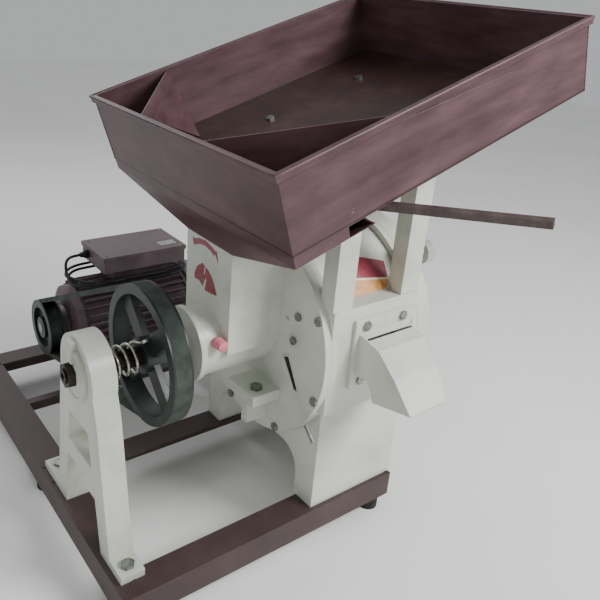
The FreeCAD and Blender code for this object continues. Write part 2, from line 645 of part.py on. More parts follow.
cap_disc = rod("housing_cap_disc", "housing_cap_radius", "housing_cap", on_shaft("housing_left"), "x")
cap_hole = rod("housing_cap_hole", "shaft_radius + cap_bore_gap", "housing_cap + 2",
               on_shaft("housing_left - 1"), "x")
cap_spigot = rod("housing_cap_spigot", "bearing_outer_radius - 0.2",
                 "bearing_left - housing_left - housing_cap", on_shaft("housing_left + housing_cap"),
                 "x")
cap_relief = rod("housing_cap_relief", "bearing_outer_bore", "30",
                 on_shaft("housing_left + housing_cap"), "x")
node("housing_cover", cut("housing_cover", join("housing_cover_blank", [cap_disc, cap_spigot]),
                          [cap_hole, cap_relief]))

cap_stem = rod("grease_stem", "5.8", "12", ("grease_cap_along", "shaft_back - housing_radius - 3",
                                            "shaft_height + 30"), "y")
cap_knob = rod("grease_knob", "13", "22", ("grease_cap_along", "shaft_back - housing_radius - 25",
                                           "shaft_height + 30"), "y")
cap_seat = rod("grease_seat", "11", "10", ("grease_cap_along", "shaft_back - housing_radius - 3.5",
                                           "shaft_height + 30"), "y")
housing_round = rod("grease_trim", "housing_radius", "200", on_shaft("200"), "x")
seated = cut("grease_seated", join("grease_outer", [cap_knob, cap_seat]), [housing_round])
node("grease_cap", join("grease_cap", [seated, cap_stem]))

# --------------------------------------------------------------------------------- chamber
# The chamber is a cast drum with a flange at each end, a box at the front that carries the
# outlet and the front struts, and a shelf at the rear for the rear struts.
shell = rod("shell", "shell_radius", "chamber_right - chamber_left", on_shaft("chamber_left"), "x")
left_flange = rod("left_flange", "chamber_flange_radius", "chamber_flange",
                  on_shaft("chamber_left"), "x")
right_flange = rod("right_flange", "chamber_flange_radius", "chamber_flange",
                   on_shaft("chamber_right - chamber_flange"), "x")
front_box = box("front_box", ("ledge_right - ledge_left - 4", "shaft_back - ledge_front",
                              "ledge_top - ledge_bottom"),
                ("ledge_left + 4", "ledge_front", "ledge_bottom"))
rear_box = box("rear_shelf", ("ledge_right - ledge_left - 4", "rear_ledge_back - shaft_back",
                              "rear_ledge_thickness"),
               ("ledge_left + 4", "shaft_back", "ledge_top - rear_ledge_thickness"))
hinge_block = box("hinge_block", ("30", "hinge_offset + 14", "44"),
                  ("chamber_right - 30", "hinge_back - hinge_offset - 14", "shaft_height - 22"))
hinge_tube = rod("hinge_tube", "knuckle_radius", "44", ("hinge_line", "hinge_back",
                                                        "shaft_height - 22"))
knob_y = "shaft_back - (chamber_flange_radius + 12) * cos(knob_angle)"
knob_z = "shaft_height + (chamber_flange_radius + 12) * sin(knob_angle)"
casing_lug = rod("casing_lug", "lug_radius", "chamber_flange",
                 ("chamber_right - chamber_flange", knob_y, knob_z), "x")
drum_solid = join("drum_solid", [shell, left_flange, right_flange, front_box, rear_box,
                                 hinge_block, hinge_tube, casing_lug])
chamber = rod("chamber", "screen_seat_radius", "chamber_right - chamber_left + 2",
              on_shaft("chamber_left - 1"), "x")
screen_pocket = rod("screen_pocket", "chamber_radius", "screen_right - screen_left - 2 * screen_seat",
                    on_shaft("screen_left + screen_seat"), "x")
outlet = box("outlet", ("outlet_right - outlet_left", "shaft_back - ledge_front + 2",
                        "outlet_top - outlet_bottom"),
             ("outlet_left", "ledge_front - 2", "outlet_bottom"))
hinge_hole = rod("hinge_hole", "hinge_pin_radius", "200", ("hinge_line", "hinge_back",
                                                           "shaft_height - 100"))
lug_hole = rod("lug_hole", "knob_stud_radius + bolt_clearance", "60",
               ("chamber_right - 50", knob_y, knob_z), "x")
drum_holes = [rod(f"drum_hole_{index}", "small_bolt_radius + bolt_clearance", "40",
                  ("chamber_left - 10", across, up), "x")
              for index, (across, up) in enumerate(plate_ring)]
spout_bolt_places = [(x_text, z_text) for x_text in ("outlet_left + 12", "outlet_right - 12")
                     for z_text in ("outlet_bottom - 19", "outlet_top + 21")]
spout_holes = [rod(f"spout_hole_{index}", "small_bolt_radius + bolt_clearance", "60",
                   (x_text, "ledge_front - 20", z_text), "y")
               for index, (x_text, z_text) in enumerate(spout_bolt_places)]
drum_hollow = cut("drum_hollow", cut("drum_bored", drum_solid, [chamber], refine=False),
                  [screen_pocket], refine=False)
node("drum_casing", cut("drum_casing", drum_hollow,
                        [outlet, hinge_hole, lug_hole] + drum_holes + spout_holes, refine=False))
flange_bolts = [
    capped_bolt(f"flange_bolt_{index}", "small_bolt_radius", "small_head",
                "plate_thickness + chamber_flange", ("plate_left", across, up), "x", down=False)
    for index, (across, up) in enumerate(plate_ring)]

# ---------------------------------------------------------------------------- outlet spout
# A sheet hood on a flat flange: it runs forward, then turns down, and narrows to its mouth.

def hood_section(inset, top, bottom, left, right):
    """A closed four-cornered wire between a top and a bottom point of the hood's side view."""
    (top_y, top_z), (bottom_y, bottom_z) = top, bottom
    slope = math.hypot(top_y - bottom_y, top_z - bottom_z)
    step_y = inset * (bottom_y - top_y) / slope
    step_z = inset * (bottom_z - top_z) / slope
    corners = [Vector(left + inset, top_y + step_y, top_z + step_z),
               Vector(right - inset, top_y + step_y, top_z + step_z),
               Vector(right - inset, bottom_y - step_y, bottom_z - step_z),
               Vector(left + inset, bottom_y - step_y, bottom_z - step_z)]
    return Part.makePolygon(corners + corners[:1])


def hood(inset, stretch):
    front = num("ledge_front")
    left, right = num("outlet_left - spout_wall"), num("outlet_right + spout_wall")
    mouth_left, mouth_right = num("spout_mouth_left"), num("spout_mouth_right")
    top, bottom = num("outlet_top + spout_wall"), num("outlet_bottom - spout_wall")
    bend = (num("spout_bend_front"), num("spout_bend_top"))
    knee = (num("spout_knee_front"), num("spout_knee_top"))
    lip = (num("spout_lip_front"), num("spout_lip_top") - stretch)
    heel = (num("spout_heel_front"), num("spout_heel_top") - stretch)
    sections = [
        hood_section(inset, (front, top), (front, bottom), left, right),
        hood_section(inset, bend, (-55, bottom + 8), left, right),
        hood_section(inset, knee, (-68, bottom - 6), left, right - 10),
        hood_section(inset, lip, heel, mouth_left, mouth_right)]
    return Part.makeLoft(sections, True, True)


spout_plate = box("spout_plate", ("outlet_right - outlet_left + 2 * spout_margin", "spout_flange",
                                  "outlet_top - outlet_bottom + 4 * spout_margin"),
                  ("outlet_left - spout_margin", "ledge_front - spout_flange",
                   "outlet_bottom - 2 * spout_margin"))
hood_outer = feature("hood_outer", hood(0, 0), ("0", "0", "0"))
hood_inner = feature("hood_inner", hood(num("spout_wall"), 3), ("0", "0", "0"))
spout_passage = box("spout_passage", ("outlet_right - outlet_left", "40",
                                      "outlet_top - outlet_bottom"),
                    ("outlet_left", "ledge_front - 30", "outlet_bottom"))
node("outlet_spout", cut("outlet_spout", join("spout_solid", [spout_plate, hood_outer]),
                         [hood_inner, spout_passage] + [
                             rod(f"spout_flange_hole_{index}",
                                 "small_bolt_radius + bolt_clearance", "60",
                                 (x_text, "ledge_front - 30", z_text), "y")
                             for index, (x_text, z_text) in enumerate(spout_bolt_places)]))
spout_bolts = [
    capped_bolt(f"spout_bolt_{index}", "small_bolt_radius", "small_head", "30",
                (x_text, "ledge_front - spout_flange", z_text), "y", down=False)
    for index, (x_text, z_text) in enumerate(spout_bolt_places)]
node("mill_bolts", group("mill_bolts", flange_bolts + spout_bolts))

# --------------------------------------------------------------------------------- mill stand
# A hollow cast saddle: a front leg on the front rail, a rear leg on the middle rail and a round-
# cornered portal between them.  The drum's flanges rest in its top.
stand_block = body("stand_block", ("stand_left", "0", "0"))
pad(stand_block, "YZ", "stand_width", [
    ("stand_front", "rail_top"), ("stand_rear", "rail_top"), ("stand_rear", "stand_rear_top"),
    ("shaft_back + 100", "stand_rear_top"), ("shaft_back - 100", "stand_shoulder"),
    ("stand_front", "stand_shoulder")])
portal_front = "stand_front + stand_leg_depth"
portal_rear = "stand_rear - stand_rear_leg"
portal_tools = [
    box("portal_low", ("stand_width + 2", f"{portal_rear} - ({portal_front})",
                       "arch_top - arch_corner - rail_top + 1"),
        ("stand_left - 1", portal_front, "rail_top - 1")),
    box("portal_high", ("stand_width + 2", f"{portal_rear} - ({portal_front}) - 2 * arch_corner",
                        "arch_top - rail_top"),
        ("stand_left - 1", f"{portal_front} + arch_corner", "rail_top")),
    rod("portal_front_corner", "arch_corner", "stand_width + 2",
        ("stand_left - 1", f"{portal_front} + arch_corner", "arch_top - arch_corner"), "x"),
    rod("portal_rear_corner", "arch_corner", "stand_width + 2",
        ("stand_left - 1", f"{portal_rear} - arch_corner", "arch_top - arch_corner"), "x")]
inner_width = "stand_width - 2 * stand_wall"
inner_left = "stand_left + stand_wall"
cavity_tools = [
    box("front_leg_cavity", (inner_width, "stand_leg_depth - 2 * stand_wall",
                             "stand_shoulder - rail_top"),
        (inner_left, "stand_front + stand_wall", "rail_top + stand_wall")),
    box("rear_leg_cavity", (inner_width, "stand_rear_leg - 2 * stand_wall",
                            "stand_shoulder - rail_top"),
        (inner_left, portal_rear + " + stand_wall", "rail_top + stand_wall")),
    box("upper_cavity", (inner_width, "stand_rear - stand_front - 2 * stand_wall",
                         "shaft_height - arch_top - stand_wall"),
        (inner_left, "stand_front + stand_wall", "arch_top + stand_wall"))]
drum_bed = rod("drum_bed", "chamber_flange_radius", "stand_width + 20", on_shaft("stand_left - 10"),
               "x")
door_bed = rod("door_bed", "chamber_flange_radius + 4", "80", on_shaft("chamber_right - 1"), "x")
box_bed = box("box_bed", ("400", "shaft_back - ledge_front", "shaft_height - ledge_bottom"),
              ("ledge_left", "ledge_front", "ledge_bottom"))
stand_holes = [rod(f"stand_hole_{index}", "large_bolt_radius + bolt_clearance", "40",
                   (column, row, "rail_top - 10"))
               for index, (column, row) in enumerate(
                   [(column, row) for column in stand_bolt_columns
                    for row in (front_stand_bolt, rear_stand_bolt)])]
node("mill_stand", cut("mill_stand", stand_block, portal_tools + cavity_tools
                       + [drum_bed, door_bed, box_bed] + stand_holes))

frame_bolt_list = [
    capped_bolt(f"pedestal_bolt_{index}", "large_bolt_radius", "large_head",
                "pedestal_foot_thickness + rail_thickness + 10",
                (pedestal_bolt_column, row, "rail_top + pedestal_foot_thickness"))
    for index, row in enumerate(pedestal_bolt_rows)]
frame_bolt_list += [
    capped_bolt(f"stand_bolt_{index}", "large_bolt_radius", "large_head",
                "stand_wall + rail_thickness + 10", (column, row, "rail_top + stand_wall"))
    for index, (column, row) in enumerate(
        [(column, row) for column in stand_bolt_columns
         for row in (front_stand_bolt, rear_stand_bolt)])]
frame_bolt_list.append(capped_bolt("arm_bolt", "large_bolt_radius", "large_head", "40",
                                   (arm_bolt_along, arm_bolt_back, "arm_bottom + arm_height")))
# ------------------------------------------------------------------------------------ rotor
discs = []
for index in range(3):
    left = f"rotor_disc_left + {index} * rotor_disc_pitch"
    blank = rod(f"disc_blank_{index}", "rotor_disc_radius", "rotor_disc_thickness",
                on_shaft(left), "x")
    disc_holes = [rod(f"disc_bore_{index}", "rotor_shaft_radius", "rotor_disc_thickness + 2",
                      on_shaft(left + " - 1"), "x")]
    disc_holes += [rod(f"disc_pin_hole_{index}_{pin}", "hammer_pin_radius",
                       "rotor_disc_thickness + 2", (left + " - 1", across, up), "x")
                   for pin, (across, up) in enumerate(bolt_circle(4, "hammer_pin_circle", 45))]
    discs.append(cut(f"disc_{index}", blank, disc_holes))
node("rotor_discs", group("rotor_discs", discs))

pin_places = list(bolt_circle(4, "hammer_pin_circle", 45))
node("hammer_pins", group("hammer_pins", [
    rod(f"hammer_pin_{index}", "hammer_pin_radius", "rotor_right - rotor_disc_left + 8",
        ("rotor_disc_left - 4", across, up), "x")
    for index, (across, up) in enumerate(pin_places)]))

bay = "rotor_disc_pitch - rotor_disc_thickness"
for row, (across, up) in enumerate(pin_places):
    row_hammers = []
    for bay_index in range(2):
        for slot in range(3):
            left = (f"rotor_disc_left + rotor_disc_thickness + {bay_index} * rotor_disc_pitch"
                    f" + ({bay}) * {slot + 1} / 4 - hammer_thickness / 2")
            tag = f"{row}_{bay_index}_{slot}"
            blade = box("hammer_blade_" + tag,
                        ("hammer_thickness", "hammer_width", "hammer_reach + hammer_eye"),
                        (left, f"{across} - hammer_width / 2", f"{up} - hammer_reach"))
            eye = rod("hammer_eye_" + tag, "hammer_pin_radius + running_gap",
                      "hammer_thickness + 2", (left + " - 1", across, up), "x")
            row_hammers.append(cut("hammer_" + tag, blade, [eye]))
    node(f"hammers_row_{row + 1}", group(f"hammers_row_{row + 1}", row_hammers))


# The screen is a rolled perforated sheet open at the top; its ends sit on the drum's two lands.
def screen_shape():
    outer, wall = num("screen_radius"), num("screen_wall")
    length, arc = num("screen_right - screen_left"), num("screen_arc")
    along = Vector(0, 0, 1)
    sheet_metal = Part.makeCylinder(outer, length, Vector(), along, arc)
    sheet_metal = sheet_metal.cut(Part.makeCylinder(outer - wall, length, Vector(), along, 360))
    holes = []
    columns, rows = 8, 13
    for row in range(rows):
        angle = math.radians(arc * (row + 0.5) / rows)
        outward = Vector(math.cos(angle), math.sin(angle), 0)
        for column in range(columns):
            start = outward * (outer - wall - 2) + along * (length * (column + 0.5) / columns)
            holes.append(Part.makeCylinder(num("screen_hole_radius"), wall + 4, start, outward))
    return sheet_metal.cut(Part.makeCompound(holes))


half_arc = Rotation(Vector(1, 0, 0), -num("screen_arc") / 2)
node("screen", feature("screen", screen_shape(), on_shaft("screen_left"),
                       half_arc * AXIS_TURN["x"]))

# ------------------------------------------------------------------------------------- door
# The round door swings on a vertical pin at the motor side and is held by a stud and knob.
door_disc = rod("door_disc", "chamber_flange_radius", "door_thickness", on_shaft("door_left"), "x")
door_rim = rod("door_rim", "chamber_flange_radius", "door_rim_height", on_shaft("door_left"), "x")
door_dish = rod("door_dish", "chamber_flange_radius - door_rim_width", "door_rim_height",
                on_shaft("door_left + door_thickness"), "x")
door_boss = rod("door_boss", "60", "24", on_shaft("door_left + 2"), "x")
door_lug = rod("door_lug", "lug_radius", "door_thickness", ("door_left", knob_y, knob_z), "x")
door_parts = [cut("door_dished", door_rim, [door_dish]), door_disc, door_boss, door_lug]
for tag, low in (("upper", "shaft_height + 22 + seat_gap"), ("lower", "shaft_height - 66 - seat_gap")):
    door_parts.append(box(f"door_arm_{tag}", ("door_thickness", "hinge_offset + 16", "44"),
                          ("door_left", "hinge_back - hinge_offset - 16", low)))
    door_parts.append(rod(f"door_knuckle_{tag}", "knuckle_radius", "44",
                          ("hinge_line", "hinge_back", low)))
door_pin_hole = rod("door_pin_hole", "hinge_pin_radius + running_gap", "220",
                    ("hinge_line", "hinge_back", "shaft_height - 110"))
door_stud_hole = rod("door_stud_hole", "knob_stud_radius + running_gap", "80",
                     ("door_left - 10", knob_y, knob_z), "x")
node("door", cut("door", join("door_solid", door_parts), [door_pin_hole, door_stud_hole]))
pin_stem = rod("hinge_pin_stem", "hinge_pin_radius", "hinge_pin_length",
               ("hinge_line", "hinge_back", "shaft_height - hinge_pin_length / 2"))
pin_head = rod("hinge_pin_head", "hinge_pin_radius + 4", "5",
               ("hinge_line", "hinge_back", "shaft_height + hinge_pin_length / 2"))
node("door_hinge_pin", join("door_hinge_pin", [pin_stem, pin_head]))
knob_stud = rod("knob_stud", "knob_stud_radius", "door_rim_height + 10",
                ("door_left + seat_gap", knob_y, knob_z), "x")
knob_grip = rod("knob_grip", "knob_radius", "24", ("door_left + door_rim_height + 4", knob_y, knob_z),
                "x")
node("door_knob", join("door_knob", [knob_stud, knob_grip]))

# --------------------------------------------------------------------------- hopper supports
# Angle struts rise from the drum's ledges to the underside of the sloping tray.

tray_cutter = doc.addObject("Part::Compound", "tray_cutter")
tray_cutter.Links = [box("cutter_block", ("2000", "2000", "900"), ("-500", "-600", "0"),
                         local=True)]
tilt(tray_cutter)


def along_tray(x_text):
    return f"(({x_text}) - tray_left) / cos(tray_slope)"


def strut(name, left, front, rear_facing):
    """An angle strut with a foot plate, and a sloping top plate where it meets the tray."""
    bar = body(name + "_bar", (left, front, "ledge_top"))
    if rear_facing:
        wide = ("strut_depth - strut_wall", "strut_depth")
    else:
        wide = ("0", "strut_wall")
    near, far = ("0", "strut_depth") if rear_facing else ("strut_depth", "0")
    low, high = wide
    inside = low if rear_facing else high
    outside = high if rear_facing else low
    pad(bar, "XY", "500", [("0", near), ("0", outside), ("strut_width", outside),
                           ("strut_width", inside), ("strut_wall", inside), ("strut_wall", near)])
    foot = box(name + "_foot", ("strut_width", "strut_depth", "strut_wall"),
               (left, front, "ledge_top"))
    coping = rod(name + "_coping", "chamber_flange_radius", "chamber_right - plate_left",
                 on_shaft("plate_left"), "x")
    return cut(name, join(name + "_blank", [bar, foot]), [tray_cutter, coping])


rear_strut_front = "rear_ledge_back - strut_depth"
front_struts = [strut("strut_front_left", "left_strut_left", "strut_front", False),
                strut("strut_front_right", "right_strut_left", "strut_front", False)]
rear_struts = [strut("strut_rear_left", "left_strut_left", rear_strut_front, True),
               strut("strut_rear_right", "right_strut_left", rear_strut_front, True)]

# ------------------------------------------------------------------------------ hopper tray
# Modelled level and laid at the tray's slope: a welded sheet box with an outward rim.
tray_outer = box("tray_outer", ("tray_length", "tray_width", "tray_depth"), ("0", "0", "0"),
                 local=True)
tray_rim = box("tray_rim", ("tray_length + 2 * rim_width", "tray_width + 2 * rim_width",
                            "rim_height"),
               ("-rim_width", "-rim_width", "tray_depth - rim_height"), local=True)
tray_inner = box("tray_inner", ("tray_length - 2 * tray_wall", "tray_width - 2 * tray_wall",
                                "tray_depth"),
                 ("tray_wall", "tray_wall", "tray_wall"), local=True)
drop_hole = box("drop_hole", ("drop_length", "drop_rear - drop_front", "20"),
                ("2 * tray_wall", "drop_front", "-5"), local=True)
pivot_hole = rod("pivot_hole", "pivot_radius + bolt_clearance", "20",
                 ("pivot_along", "pivot_across", "-5"), local=True)
front_bolt_row = "strut_front - tray_front + strut_depth / 2"
bearer_front, bearer_width, bearer_leg = "495", "50", "40"
bearer_left, bearer_length, bearer_thickness = "250", "420", "5"
bearer_bolts = [("334", "515"), ("617", "515")]
tray_bolts = bearer_bolts + [
    (along_tray(f"{left} + strut_width + 18"), front_bolt_row)
    for left in ("left_strut_left", "right_strut_left")]
tray_holes = [rod(f"tray_hole_{index}", "small_bolt_radius + bolt_clearance", "20",
                  (along, across, "-5"), local=True)
              for index, (along, across) in enumerate(tray_bolts)]
tray = cut("hopper_tray", join("tray_solid", [tray_outer, tray_rim]),
           [tray_inner, drop_hole, pivot_hole] + tray_holes)
node("hopper_tray", tilt(tray))

bolt_tops = [capped_bolt(f"tray_bolt_{index}", "small_bolt_radius", "small_head", "22",
                         (along, across, "tray_wall"), local=True)
             for index, (along, across) in enumerate(tray_bolts)]

bearer_flange = box("bearer_flange", (bearer_length, bearer_width, bearer_thickness),
                    (bearer_left, bearer_front, f"-{bearer_thickness}"), local=True)
bearer_web = box("bearer_web", (bearer_length, bearer_thickness, bearer_leg),
                 (bearer_left, f"{bearer_front} + {bearer_width} - {bearer_thickness}",
                  f"-{bearer_leg}"), local=True)
bearer_holes = [rod(f"bearer_hole_{index}", "small_bolt_radius + bolt_clearance", "20",
                    (along, across, "-10"), local=True)
                for index, (along, across) in enumerate(bearer_bolts)]
node("tray_bearer", tilt(cut("tray_bearer", join("bearer_blank", [bearer_flange, bearer_web]),
                             bearer_holes)))

clips = []
for index, (along, across) in enumerate(tray_bolts[2:]):
    tab = box(f"clip_tab_{index}", ("strut_width", "strut_depth", "5"),
              (f"{along} - 17", f"{front_bolt_row} - strut_depth / 2", "-5"), local=True)
    tab_hole = rod(f"clip_hole_{index}", "small_bolt_radius + bolt_clearance", "20",
                   (along, across, "-10"), local=True)
    clips.append(cut(f"clip_{index}", tab, [tab_hole]))
clip_pair = tilt(group("strut_clips", clips))
node("hopper_struts", group("hopper_struts", front_struts + rear_struts + [clip_pair]))


def deflector_plate(along, left_across, floor_across, wall_across):
    """A flat triangle across a corner: from the end wall's top to the side wall's top to the floor."""
    top = num("tray_depth - 4")
    points = [Vector(num("tray_wall"), left_across, top), Vector(along, wall_across, top),
              Vector(num("drop_length + 3 * tray_wall"), floor_across, num("tray_wall"))]
    normal = (points[1] - points[0]).cross(points[2] - points[0])
    normal.normalize()
    if normal.z > 0:
        normal = normal * -1
    face = Part.Face(Part.makePolygon(points + points[:1]))
    plate = face.extrude(normal * num("deflector_wall"))
    room = Part.makeBox(num("tray_length - 2 * tray_wall"), num("tray_width - 2 * tray_wall"),
                        num("tray_depth"), Vector(num("tray_wall"), num("tray_wall"),
                                                  num("tray_wall")))
    return plate.common(room)


back_wall = num("tray_width - tray_wall")
front_wall = num("tray_wall")
back_plate = deflector_plate(num("deflector_left_back"),
                             back_wall - num("deflector_wall_back") + 40, 582, back_wall)
front_plate = deflector_plate(num("deflector_left_front"), num("deflector_wall_front"), 60,
                              front_wall)
deflectors = feature("hopper_deflectors", Part.makeCompound([back_plate, front_plate]))
node("hopper_deflectors", tilt(deflectors))

# ----------------------------------------------------------------------- funnel and feed gate
spacer_left = box("spacer_left", ("spacer_width", "tray_width", "spacer_height"),
                  ("0", "0", "-spacer_height"), local=True)
spacer_back = box("spacer_back", ("funnel_length", "spacer_width", "spacer_height"),
                  ("0", "tray_width - spacer_width", "-spacer_height"), local=True)
spacer_front = box("spacer_front", ("funnel_length - lever_slot", "spacer_width", "spacer_height"),
                   ("0", "0", "-spacer_height"), local=True)
node("hopper_spacer", tilt(join("hopper_spacer", [spacer_left, spacer_back, spacer_front])))


def tilted_point(along, across, up):
    slope = math.radians(num("tray_slope"))
    return Vector(num("tray_left") + along * math.cos(slope) - up * math.sin(slope),
                  num("tray_front") + across,
                  num("tray_base") + along * math.sin(slope) + up * math.cos(slope))


def funnel_loft(inset, bottom_inset, over):
    top_level = over - num("spacer_height")
    length, width = num("funnel_length"), num("tray_width")
    top = [tilted_point(inset, inset, top_level), tilted_point(length - inset, inset, top_level),
           tilted_point(length - inset, width - inset, top_level),
           tilted_point(inset, width - inset, top_level)]
    left, right = num("throat_left") + bottom_inset, num("plate_left") - bottom_inset
    front, rear = num("throat_front") + bottom_inset, num("throat_rear") - bottom_inset
    level = num("throat_top") - over
    bottom = [Vector(left, front, level), Vector(right, front, level), Vector(right, rear, level),
              Vector(left, rear, level)]
    wires = [Part.makePolygon(bottom + bottom[:1]), Part.makePolygon(top + top[:1])]
    return Part.makeLoft(wires, True, True)


funnel_shape = funnel_loft(0, 0, 0).cut(funnel_loft(num("funnel_wall"), num("throat_wall"), 0.001))
node("hopper_funnel", feature("hopper_funnel", funnel_shape, ("0", "0", "0")))

gate_top = "-gate_gap - gate_thickness"
gate_plate = box("gate_plate", ("gate_length", "gate_reach + 12", "gate_thickness"),
                 ("gate_left", "pivot_across - 12", gate_top), local=True)
lever_bar = box("lever_bar", ("lever_length + 20", "lever_size", "lever_size"),
                ("-20", "-lever_size / 2", "0"), local=True)
lever_turned = doc.addObject("Part::Compound", "lever_turned")
lever_turned.Links = [lever_bar]
place(lever_turned, ("pivot_along", "pivot_across", f"{gate_top} - lever_size"), local=True,
      turn=Rotation(Vector(0, 0, 1), num("lever_angle")))
lever_turned.setExpression("Placement.Rotation.Angle", ex("lever_angle"))
lever_boss = rod("lever_boss", "pivot_radius + 8", "lever_size",
                 ("pivot_along", "pivot_across", f"{gate_top} - lever_size"), local=True)
lever_bore = rod("lever_bore", "pivot_radius + running_gap", "80",
                 ("pivot_along", "pivot_across", "-60"), local=True)
gate_bore = rod("gate_bore", "pivot_radius + running_gap", "80",
                ("pivot_along", "pivot_across", "-60"), local=True)
node("feed_gate", tilt(cut("feed_gate", gate_plate, [gate_bore])))
node("gate_lever", tilt(cut("gate_lever", join("lever_blank", [lever_turned, lever_boss]),
                            [lever_bore])))
pivot_nut_level = "-gate_gap - gate_thickness - lever_size - seat_gap - 8"
pivot_stem = rod("pivot_stem", "pivot_radius", f"tray_wall - ({pivot_nut_level})",
                 ("pivot_along", "pivot_across", pivot_nut_level), local=True)
pivot_head = hexagon("pivot_head", "3.2 * pivot_radius", "6", ("pivot_along", "pivot_across",
                                                            "tray_wall"), local=True)
pivot_nut = hexagon("pivot_nut", "3.2 * pivot_radius", "8",
                    ("pivot_along", "pivot_across", pivot_nut_level), local=True)
pivot_bolt = join("gate_pivot_bolt", [pivot_stem, pivot_head, pivot_nut])
node("hopper_bolts", tilt(group("hopper_bolts", bolt_tops + [pivot_bolt])))

# ------------------------------------------------------------------------------------ motor
# A foot-mounted, fan-cooled motor on two slide rails.
core = rod("stator_core", "motor_core_radius", "stator_right - stator_left",
           ("stator_left", "motor_back", "motor_axis_height"), "x")
fins = []
for index in range(int(num("fin_count"))):
    fin = box(f"fin_{index}", ("stator_right - stator_left - 12", "fin_thickness",
                               "motor_core_radius + fin_height"),
              ("6", "-fin_thickness / 2", "0"), local=True)
    turned_fin = doc.addObject("Part::Compound", f"fin_turned_{index}")
    turned_fin.Links = [fin]
    turn = Rotation(Vector(1, 0, 0), (index + 0.5) * 360 / num("fin_count"))
    fins.append(place(turned_fin, ("stator_left", "motor_back", "motor_axis_height"), turn=turn))
box_pad = box("box_pad", ("box_neck_length", "box_neck_depth", "motor_core_radius + fin_height + 2"),
              ("box_left + 40", "motor_back - box_neck_depth / 2", "motor_axis_height"))
foot_plates = []
foot_span_left = "left_slide_rail - 4"
foot_span = "right_slide_rail + slide_rail_width - left_slide_rail + 8"
for tag, side in (("front", -1), ("rear", 1)):
    middle = f"motor_back + {side} * motor_foot_spacing / 2"
    foot_plates.append(box("motor_foot_" + tag, (foot_span, "motor_foot_width", "motor_foot_height"),
                           (foot_span_left, f"{middle} - motor_foot_width / 2", "motor_base")))
    foot_plates.append(box("motor_web_" + tag, (foot_span, "16", "70"),
                           (foot_span_left, f"{middle} - {8 + 12 * side}", "motor_base + 4")))
stator_bore = rod("stator_bore", "60", "stator_right - stator_left + 2",
                  ("stator_left - 1", "motor_back", "motor_axis_height"), "x")
motor_bolt_places = [(f"{left} + slide_rail_width / 2", f"motor_back + {side} * motor_foot_spacing / 2")
                     for left in ("left_slide_rail", "right_slide_rail") for side in (-1.1, 1.1)]
motor_holes = [rod(f"motor_hole_{index}", "small_bolt_radius + bolt_clearance", "60",
                   (across, back, "motor_base - 10"))
               for index, (across, back) in enumerate(motor_bolt_places)]
base_trim = box("base_trim", ("400", "300", "40"),
                ("stator_left - 10", "motor_back - 150", "motor_base - 40"))
node("motor_body", cut("motor_body", join("motor_solid", [core, box_pad] + fins + foot_plates),
                       [stator_bore, base_trim] + motor_holes))
motor_bolts = [
    capped_bolt(f"motor_bolt_{index}", "small_bolt_radius", "small_head",
                "motor_foot_height + slide_rail_wall + 6",
                (across, back, "motor_base + motor_foot_height"))
    for index, (across, back) in enumerate(motor_bolt_places)]
node("frame_bolts", group("frame_bolts", frame_bolt_list + stems + motor_bolts))

drive_end = turned("drive_end_shield", [
    ("drive_end_left", "motor_shaft_radius + running_gap"), ("drive_end_left", "46"),
    ("drive_end_left + 14", "52"), ("drive_end_left + 22", "96"),
    ("drive_end_left + 26", "motor_core_radius + 8"), ("stator_left", "motor_core_radius + 8"),
    ("stator_left", "motor_shaft_radius + running_gap")], MOTOR_AXIS)
rear_end = turned("rear_end_shield", [
    ("stator_right", "motor_shaft_radius + running_gap"), ("stator_right", "motor_core_radius + 8"),
    ("stator_right + 12", "motor_core_radius + 8"), ("stator_right + 12", "motor_core_radius - 8"),
    ("stator_right + 16", "60"),
    ("stator_right + 20", "motor_shaft_radius + running_gap")], MOTOR_AXIS)
node("motor_end_shields", group("motor_end_shields", [drive_end, rear_end]))
cover_wall = "3"
cowl = turned("fan_cowl", [
    ("stator_right + 12", "fan_cover_radius - " + cover_wall),
    ("stator_right + 12", "fan_cover_radius"), ("fan_cover_right - 8", "fan_cover_radius"),
    ("fan_cover_right", "fan_cover_radius - 8"), ("fan_cover_right", "16"),
    ("fan_cover_right - " + cover_wall, "16"),
    ("fan_cover_right - " + cover_wall, "fan_cover_radius - 9"),
    ("fan_cover_right - 9", "fan_cover_radius - " + cover_wall)], MOTOR_AXIS)
cowl_seat = rod("cowl_seat", "fan_cover_radius - 2", "4",
                ("stator_right + 12", "motor_back", "motor_axis_height"), "x")
cowl_seat_bore = rod("cowl_seat_bore", "motor_core_radius - 4", "8",
                     ("stator_right + 10", "motor_back", "motor_axis_height"), "x")
grille_slots = []
for index in range(-4, 5):
    grille_slots.append(box(f"grille_slot_{index + 4}", ("20", "150 - 8 * abs(%d)" % index, "7"),
                            ("fan_cover_right - 12", "motor_back - (150 - 8 * abs(%d)) / 2" % index,
                             f"motor_axis_height + {index} * 18 - 3.5")))
node("motor_fan_cover", cut("motor_fan_cover", join("fan_cover_blank", [
    cowl, cut("cowl_seat_ring", cowl_seat, [cowl_seat_bore])]), grille_slots))
fan_left = "stator_right + 26"
fan_hub = rod("fan_hub", "30", "16", (fan_left, "motor_back", "motor_axis_height"), "x")
fan_disc = rod("fan_disc", "88", "3", (fan_left, "motor_back", "motor_axis_height"), "x")
blades = []
for index in range(8):
    blade = box(f"fan_blade_{index}", ("16", "3", "84"), ("0", "-1.5", "0"), local=True)
    turned_blade = doc.addObject("Part::Compound", f"fan_blade_turned_{index}")
    turned_blade.Links = [blade]
    blades.append(place(turned_blade, (fan_left, "motor_back", "motor_axis_height"),
                        turn=Rotation(Vector(1, 0, 0), index * 45)))
fan_bore = rod("fan_bore", "motor_shaft_radius", "30",
               (fan_left + " - 5", "motor_back", "motor_axis_height"), "x")
